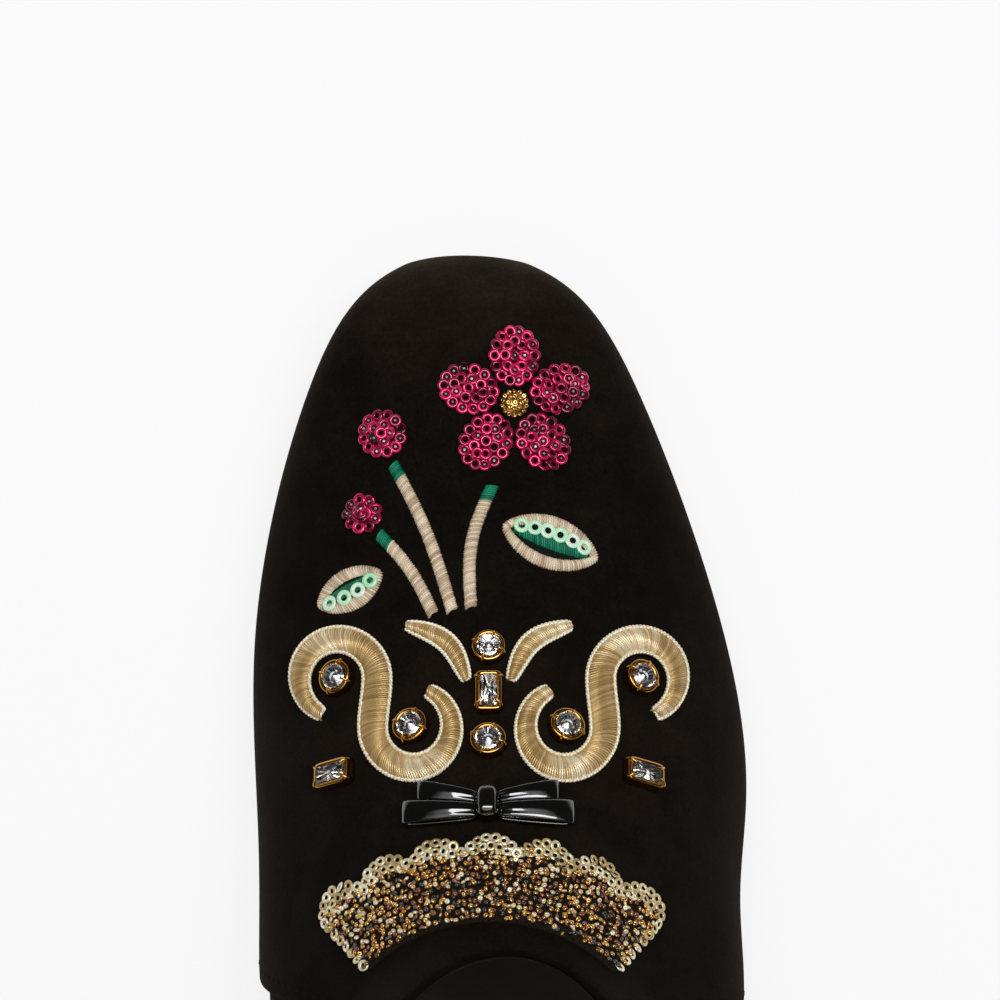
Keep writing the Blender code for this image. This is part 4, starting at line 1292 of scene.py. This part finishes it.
def make_stems():
    """Satin-stitched stems, each with a short green top."""
    chance = np.random.default_rng(21)
    top = 7
    threads = []
    tops = []
    for points in STEMS:
        path, half = band(spread_path(points, 60), 0.4, STEM_WIDTH, 1.0)
        tops.append(filling(path[: top + 1], half[: top + 1], rise=0.5, shade=0.2))
        threads.append(filling(path[top:], half[top:], rise=0.5, shade=0.1))
        tops.extend(satin(path[:top], half[:top], 0.75, 0.35, chance, high=0.9))
        threads.extend(satin(path[top:], half[top:], 0.75, 0.35, chance))
    make_piece("stem_tops", tops, "green_thread")
    make_piece("stem_threads", threads, "taupe_thread", ["stem_1", "stem_2", "stem_3"])


def leaf_lines(centre, length, width, turn):
    """Middle line and the two edge lines of a leaf, from base to tip."""
    share = np.linspace(-1.0, 1.0, 60)
    bow = (1 - share**2) ** 0.8 * width / 2
    return [turned(centre, share * length / 2, aside * bow, turn) for aside in (0.0, -1.0, 1.0)]


def make_leaves():
    """Leaves: stitched edges, a green middle and ring sequins along one side."""
    chance = np.random.default_rng(31)
    template = ring_sequin(outer=1.45, inner=0.6, thickness=0.2, segments=24)
    stitch = 0.42
    cushions = []
    rims = []
    middles = []
    rings = []
    for across, from_toe, length, width, turn in LEAVES:
        centre = (across, from_toe)
        cushions.append(cushion(centre, length - 1.0, width - 1.4, turn, 16, 0.2, 0.25))
        middle, near, far = leaf_lines(centre, length - 1.0, width - 1.2, turn)
        for line in (near, far):
            path, half = band(line, stitch, width=1.9, narrow=0.5)
            rims.append(filling(path, half, rise=0.4, shade=0.1))
            rims.extend(satin(path, half, 0.75, 0.2, chance))
        path, half = band(middle[6:-6], stitch, width=0.3 * width, narrow=0.25)
        middles.append(filling(path, half, rise=0.5, shade=0.2))
        middles.extend(satin(path, half, 0.8, 0.5, chance, high=0.9))
        for place in resample((0.45 * near + 0.55 * middle)[9:-9], 2.55):
            rings.append(sewn(template, place, 0.95, chance.normal(0.0, 0.07, 3), chance.random()))
    make_piece("leaf_cushions", cushions, "leaf_felt", ["leaf_1", "leaf_2"])
    make_piece("leaf_rims", rims, "taupe_thread")
    make_piece("leaf_middles", middles, "green_thread")
    make_piece("leaf_sequins", rings, "mint_sequin")


def scroll_path():
    """S-shaped scroll round two eyes, as offsets from the ornament axis."""
    inner = np.array(SCROLL_INNER_EYE)
    outer = np.array(SCROLL_OUTER_EYE)
    apart = outer - inner
    touch = math.atan2(apart[1], apart[0]) + math.acos(2 * SCROLL_RADIUS / np.linalg.norm(apart))
    angles = touch + math.radians(SCROLL_WRAP) * np.linspace(0.0, 1.0, 15)
    points = [inner + SCROLL_RADIUS * circle(angles[::-1]), outer - SCROLL_RADIUS * circle(angles)]
    return spread_path(np.concatenate(points), 400)


def make_goldwork(name, line, width, narrow, rise, chance):
    """Satin-stitched band with a bright twisted cord round its edge."""
    rim = 0.92
    path, half = band(line, 0.36, width, narrow)
    edge = path_frames(path)[1] * half[:, None] * rim
    threads = [filling(path[::3], half[::3] * rim, rise * 0.8, shade=0.05)]
    threads.extend(satin(path, half * 0.86, rise, 0.28, chance, 0.0, 0.5, shimmer=0.55, radius=0.24))
    whole = np.concatenate([path + edge, (path - edge)[::-1], path[:1] + edge[:1]])
    cords = list(twisted_cord(whole, chance))
    make_piece(name + "_threads", threads, "gold_thread", [name])
    make_piece(name + "_cord", cords, "bright_cord")


def make_scrolls():
    """Raised gold-thread scrolls and leaflets, mirrored about the ornament axis."""
    chance = np.random.default_rng(41)
    axis = np.array([ORNAMENT_AXIS, 0.0])
    for side in ("lateral", "medial"):
        flip = np.array([-INWARD[side], 1.0])
        make_goldwork("scroll_" + side, scroll_path() * flip + axis, SCROLL_WIDTH, 0.45, 1.35, chance)
        leaflet = spread_path(LEAFLET, 60) * flip + axis
        make_goldwork("leaflet_" + side, leaflet, LEAFLET_WIDTH, 0.4, 1.1, chance)


def seat_frame(across, from_toe):
    """Seat point with its across, forward and outward directions on the suede."""
    hit, outward = drop(across, from_toe)
    sideways = np.array([1.0, 0.0, 0.0])
    sideways = unit(sideways - outward * (sideways @ outward))
    return hit, sideways, np.cross(outward, sideways), outward


def stone_outline(seat, half_across, half_along, sides, count):
    """Function of growth and height that gives a stone's outline: round, or a rounded rectangle."""
    hit, sideways, forward, outward = seat
    corners = signed_power(circle(turns(count, 0.5)), 1.0 if sides == ROUND else 0.3)
    aside = corners[:, :1] * sideways
    ahead = corners[:, 1:] * forward

    def outline(grow, height):
        return hit + (half_across + grow) * aside + (half_along + grow) * ahead + height * outward

    return outline


def hull(points):
    """Shape of the convex body round some points."""
    shape = bmesh.new()
    for point in points:
        shape.verts.new(point)
    bmesh.ops.convex_hull(shape, input=shape.verts)
    loose = [corner for corner in shape.verts if not corner.link_faces]
    bmesh.ops.delete(shape, geom=loose, context="VERTS")
    shape.verts.index_update()
    corners = np.array([corner.co for corner in shape.verts])
    faces = [[corner.index for corner in face.verts] for face in shape.faces]
    shape.free()
    return corners, faces, PLAIN


def cut_stone(seat, half_across, half_along, sides):
    """Cut stone: table, crown facets, girdle and pavilion."""
    hit, sideways, forward, outward = seat
    rows, stretch = (ROUND_CUT, 1.0) if sides == ROUND else (STEP_CUT, math.sqrt(2.0))
    points = []
    for size, count, phase, height in rows:
        shorter = (1 - size) * min(half_across, half_along)
        for cosine, sine in circle(turns(count, phase)):
            aside = (half_across - shorter) * stretch * cosine
            ahead = (half_along - shorter) * stretch * sine
            points.append(hit + aside * sideways + ahead * forward + (STONE_RIM + height) * outward)
    return hull(points)


def add_setting(cups, foils, seat, half_across, half_along, sides):
    """Metal cup with four claws bent over the stone, and a silver foil under it."""
    outline = stone_outline(seat, half_across, half_along, sides, 40)
    cups.append(stacked([outline(*row) for row in CUP_PROFILE]))
    foils.append(stacked([outline(*row) for row in FOIL_PROFILE]))
    corner = stone_outline(seat, half_across, half_along, sides, 8)
    for i in (1, 3, 5, 7) if sides == ROUND else (0, 3, 4, 7):
        path = spread_path([corner(*row)[i] for row in CLAW_PATH], 9)
        cups.append(tube(path, np.linspace(0.26, 0.2, 9), 8, seat[2] + 0.3 * seat[1], shade=0.8))


def make_crystals():
    """Cut stones in their claw settings."""
    stones = []
    cups = []
    foils = []
    for offset, from_toe, *size in STONES:
        seat = seat_frame(ORNAMENT_AXIS + offset, from_toe)
        stones.append(cut_stone(seat, *size))
        add_setting(cups, foils, seat, *size)
    numbers = range(1, len(STONES) + 1)
    names = ["crystal_%d" % number for number in numbers]
    make_piece("crystal_stones", stones, "crystal_glass", names, smooth=False)
    make_piece("crystal_foils", foils, "silver_foil")
    names = ["crystal_cup_%d" % number for number in numbers]
    make_piece("crystal_settings", cups, "cup_metal", names)


def bow_loop(forward, side, tier, length, width):
    """Flat ribbon loop over the vamp: a cambered strip that widens outward and turns back on itself."""
    steps = 64
    inner_end = KNOT_SIZE[0] / 2 - 0.4
    turn = 2 * math.pi * np.arange(steps + 1)[:, None] / steps
    angles = turns(44)
    thick = LOOP_WALL / 2 * signed_power(np.sin(angles), 0.25)
    edge = signed_power(np.cos(angles), 0.8)
    reach = inner_end + length / 2 - (length / 2 - LOOP_WALL / 2) * np.cos(turn)
    spread = np.clip((reach - inner_end) / length, 0.0, 1.0)
    flare = LOOP_PINCH + (1 - LOOP_PINCH) * spread
    level = signed_power(np.sin(turn), 0.5)
    along = reach - np.cos(turn) * thick
    ahead = (tier + edge * width / 2) * flare
    pleat = 0.08 * (1 - spread) ** 3 * np.cos(2.5 * math.pi * edge)
    behind = 0.5 * (np.hypot(edge, 0.25) - edge)
    camber = LOOP_CAMBER * flare * width / 2 * (0.4 - behind) + pleat
    places = np.stack([ORNAMENT_AXIS + side * along, BOW_FROM_TOE - ahead * forward[1]], axis=2)
    heights = LOOP_LIFT + LOOP_PERK * spread + (LOOP_THICKNESS / 2 - LOOP_WALL / 2 + thick) * level
    heights = heights + np.maximum(0.0, level) * camber
    return lifted(places.reshape(-1, 2), heights.ravel()), grid_faces(*heights.shape, True), PLAIN


def bow_knot(hit, sideways, forward, outward):
    """Wrapped ribbon knot with soft pleats."""
    lift = math.pi * (np.arange(25)[:, None, None] / 24 - 0.5)
    turn = turns(48)[None, :, None]
    pleat = 1.0 + 0.035 * np.sin(7 * lift) * np.abs(np.cos(turn))
    around = np.maximum(0.001, np.cos(lift)) ** 0.5 * pleat
    aside = KNOT_SIZE[0] / 2 * signed_power(np.cos(turn), 0.6) * around
    ahead = KNOT_SIZE[1] / 2 * signed_power(np.sin(turn), 0.6) * around
    up = SEAT_GAP + KNOT_SIZE[2] / 2 * (1 + signed_power(np.sin(lift), 0.7))
    return stacked(hit + sideways * aside + forward * ahead + outward * up, caps=0)


def make_bow():
    """Patent bow of two pairs of loops round a knot."""
    seat = seat_frame(ORNAMENT_AXIS, BOW_FROM_TOE)
    shapes = {"bow_loop_%d" % number: bow_loop(seat[2], *row) for number, row in enumerate(LOOPS, 1)}
    shapes["bow_knot"] = bow_knot(*seat)
    for name, shape in shapes.items():
        make_piece(name + "_ribbon", [shape], "black_patent", [name])


def fan_lobe(turn):
    """How far out of its scallop the fan's edge stands at an angle, 0 at a notch and 1 at a crest."""
    return np.abs(np.sin(math.pi * FAN_LOBES * (turn / FAN_HALF_ANGLE + 1) / 2))


def fan_outer(turn):
    """Outer edge of the bead fan at an angle from the middle."""
    return FAN_OUTER - FAN_SCALLOP * (1 - fan_lobe(turn) ** 0.6)


def fan_place(reach, turn):
    """Place on the fan at a distance and an angle from its centre."""
    return np.stack([FAN_CENTRE[0] + reach * np.sin(turn), FAN_CENTRE[1] - reach * np.cos(turn)], axis=-1)


def make_fan_base():
    """Dark felt under the beads."""
    turn = np.linspace(-FAN_HALF_ANGLE, FAN_HALF_ANGLE, 113)
    share = np.linspace(0.0, 1.0, 12)[:, None]
    places = fan_place(FAN_INNER + (fan_outer(turn) - FAN_INNER) * share, turn)
    rise = np.full(places.shape[:2], 0.55)
    rise[1:-1, 1:-1] = 0.85
    make_piece("fan_felt", [patch(places, rise)], "fan_felt", ["bead_fan"])


def bead_kind(chance, share, turn):
    """Which beads a spot of the fan takes: paler towards the scallops, darker towards the throat."""
    light = 0.35 * share + 0.3 * fan_lobe(turn) * share
    weights = np.array([0.40 + 0.3 * light, 0.32 - 0.1 * light, 0.18 - 0.25 * light, 0.10 + 0.5 * light])
    weights = np.maximum(weights, 0.02)
    return chance.choice(("gold", "bronze", "black", "cream"), p=weights / weights.sum())


def make_fan_beads():
    """Seed beads in curved rows, in gold, bronze, black and cream."""
    chance = np.random.default_rng(51)
    template = seed_bead(radius=0.27, thickness=0.25, segments=10, sides=7)
    row_step = 0.88
    spacing = 0.92
    jitter = 0.2
    beads = {kind: [] for kind in ("gold", "bronze", "black", "cream")}
    for row, reach in enumerate(np.arange(FAN_INNER + 0.5, FAN_OUTER, row_step)):
        count = int(2 * FAN_HALF_ANGLE * reach / spacing)
        for i in range(count + 1):
            turn = -FAN_HALF_ANGLE + 2 * FAN_HALF_ANGLE * (i + 0.5 * (row % 2)) / (count + 0.5)
            if reach > fan_outer(turn) - (3.0 if fan_lobe(turn) > PALE_LOBE else 1.6):
                continue
            share = (reach - FAN_INNER) / (FAN_OUTER - FAN_INNER)
            spot = fan_place(reach + chance.normal(0.0, jitter), turn + chance.normal(0.0, jitter) / reach)
            lean = chance.normal(0.0, 0.6, 3)
            height = 1.15 + chance.uniform(-0.12, 0.2)
            kind = bead_kind(chance, share, turn)
            beads[kind].append(sewn(template, spot, height, lean, chance.random()))
    for kind, shapes in beads.items():
        make_piece("fan_beads_" + kind, shapes, kind + "_seed")


def make_fan_edge():
    """Pale gold ring sequins along the ends and the scallops, with a second row inside each scallop."""
    chance = np.random.default_rng(61)
    template = ring_sequin(outer=1.02, inner=0.42, thickness=0.16, segments=18)
    fine = np.linspace(-FAN_HALF_ANGLE, FAN_HALF_ANGLE, 700)
    lines = [fan_place(fan_outer(fine) - 0.85, fine)]
    for end in (-FAN_HALF_ANGLE, FAN_HALF_ANGLE):
        lines.append(fan_place(np.linspace(FAN_INNER + 0.6, 39.0, 30), end))
    reach = FAN_HALF_ANGLE / FAN_LOBES * (1 - 2 * math.asin(PALE_LOBE) / math.pi)
    for crest in range(FAN_LOBES):
        middle = FAN_HALF_ANGLE * ((2 * crest + 1) / FAN_LOBES - 1)
        turn = np.linspace(middle - reach, middle + reach, 20)
        lines.append(fan_place(fan_outer(turn) - 2.3, turn))
    rings = []
    for line in lines:
        for place in resample(line, 1.55):
            lean = chance.normal(0.0, 0.16, 3)
            height = 0.95 + chance.uniform(0.0, 0.2)
            rings.append(sewn(template, place, height, lean, chance.random()))
    make_piece("fan_edge_sequins", rings, "pale_sequin")


def make_boot():
    """Upper, sole and everything that is sewn on the vamp."""
    make_materials()
    make_vamp()
    make_quarters()
    make_lining()
    make_seam_stitches()
    make_outsole()
    make_heel()
    make_sock()
    make_sequins()
    make_heart()
    make_stems()
    make_leaves()
    make_scrolls()
    make_crystals()
    make_bow()
    make_fan_base()
    make_fan_beads()
    make_fan_edge()


def make_floor():
    """White studio table that carries little shadow."""
    shape = bmesh.new()
    bmesh.ops.create_grid(shape, x_segments=8, y_segments=8, size=2.5)
    mesh = bpy.data.meshes.new("floor")
    shape.to_mesh(mesh)
    shape.free()
    paint = new_paint("white_table")
    grey = (0.16, 0.16, 0.16, 1.0)
    white = (1.0, 1.0, 1.0, 1.0)
    paint.feed(paint.shader, Base_Color=grey, Roughness=0.9, Specular_IOR_Level=0.0)
    paint.feed(paint.shader, Emission_Color=white, Emission_Strength=0.825)
    mesh.materials.append(MATERIALS["white_table"])
    place_object("floor", mesh)


def make_light():
    """One wide softbox above the toe."""
    light = bpy.data.lights.new("top_box", "AREA")
    light.shape = "RECTANGLE"
    light.size = 1.3
    light.size_y = 0.42
    light.energy = 12.8
    item = place_object("top_box", light)
    item.location = (0.12, 0.45, 1.5)
    item.rotation_mode = "QUATERNION"
    aim = Vector((0.0, 0.03, 0.04))
    item.rotation_quaternion = (aim - item.location).to_track_quat("-Z", "Y")


def make_studio():
    """Soft light from above and all round, and the camera straight above the toe."""
    scene = bpy.context.scene
    scene.world = bpy.data.worlds.new("studio")
    paint = Paint(scene.world)
    walls = tuple((height, (strength,) * 3) for height, strength in STUDIO_WALLS)
    paint.feed(paint.tree.nodes["Background"], Color=paint.ramp(paint.part("Generated", "Z"), walls))
    make_light()
    lens = bpy.data.cameras.new("camera")
    lens.sensor_width = 36.0
    lens.lens = lens.sensor_width * (CAMERA_HEIGHT - VIEW_LEVEL) / VIEW_WIDTH
    lens.clip_end = 20.0
    scene.camera = place_object("camera", lens)
    scene.camera.location = Vector(world((*VIEW_CENTRE, CAMERA_HEIGHT))) * MM
    scene.view_settings.view_transform = "Standard"


make_boot()
make_floor()
make_studio()
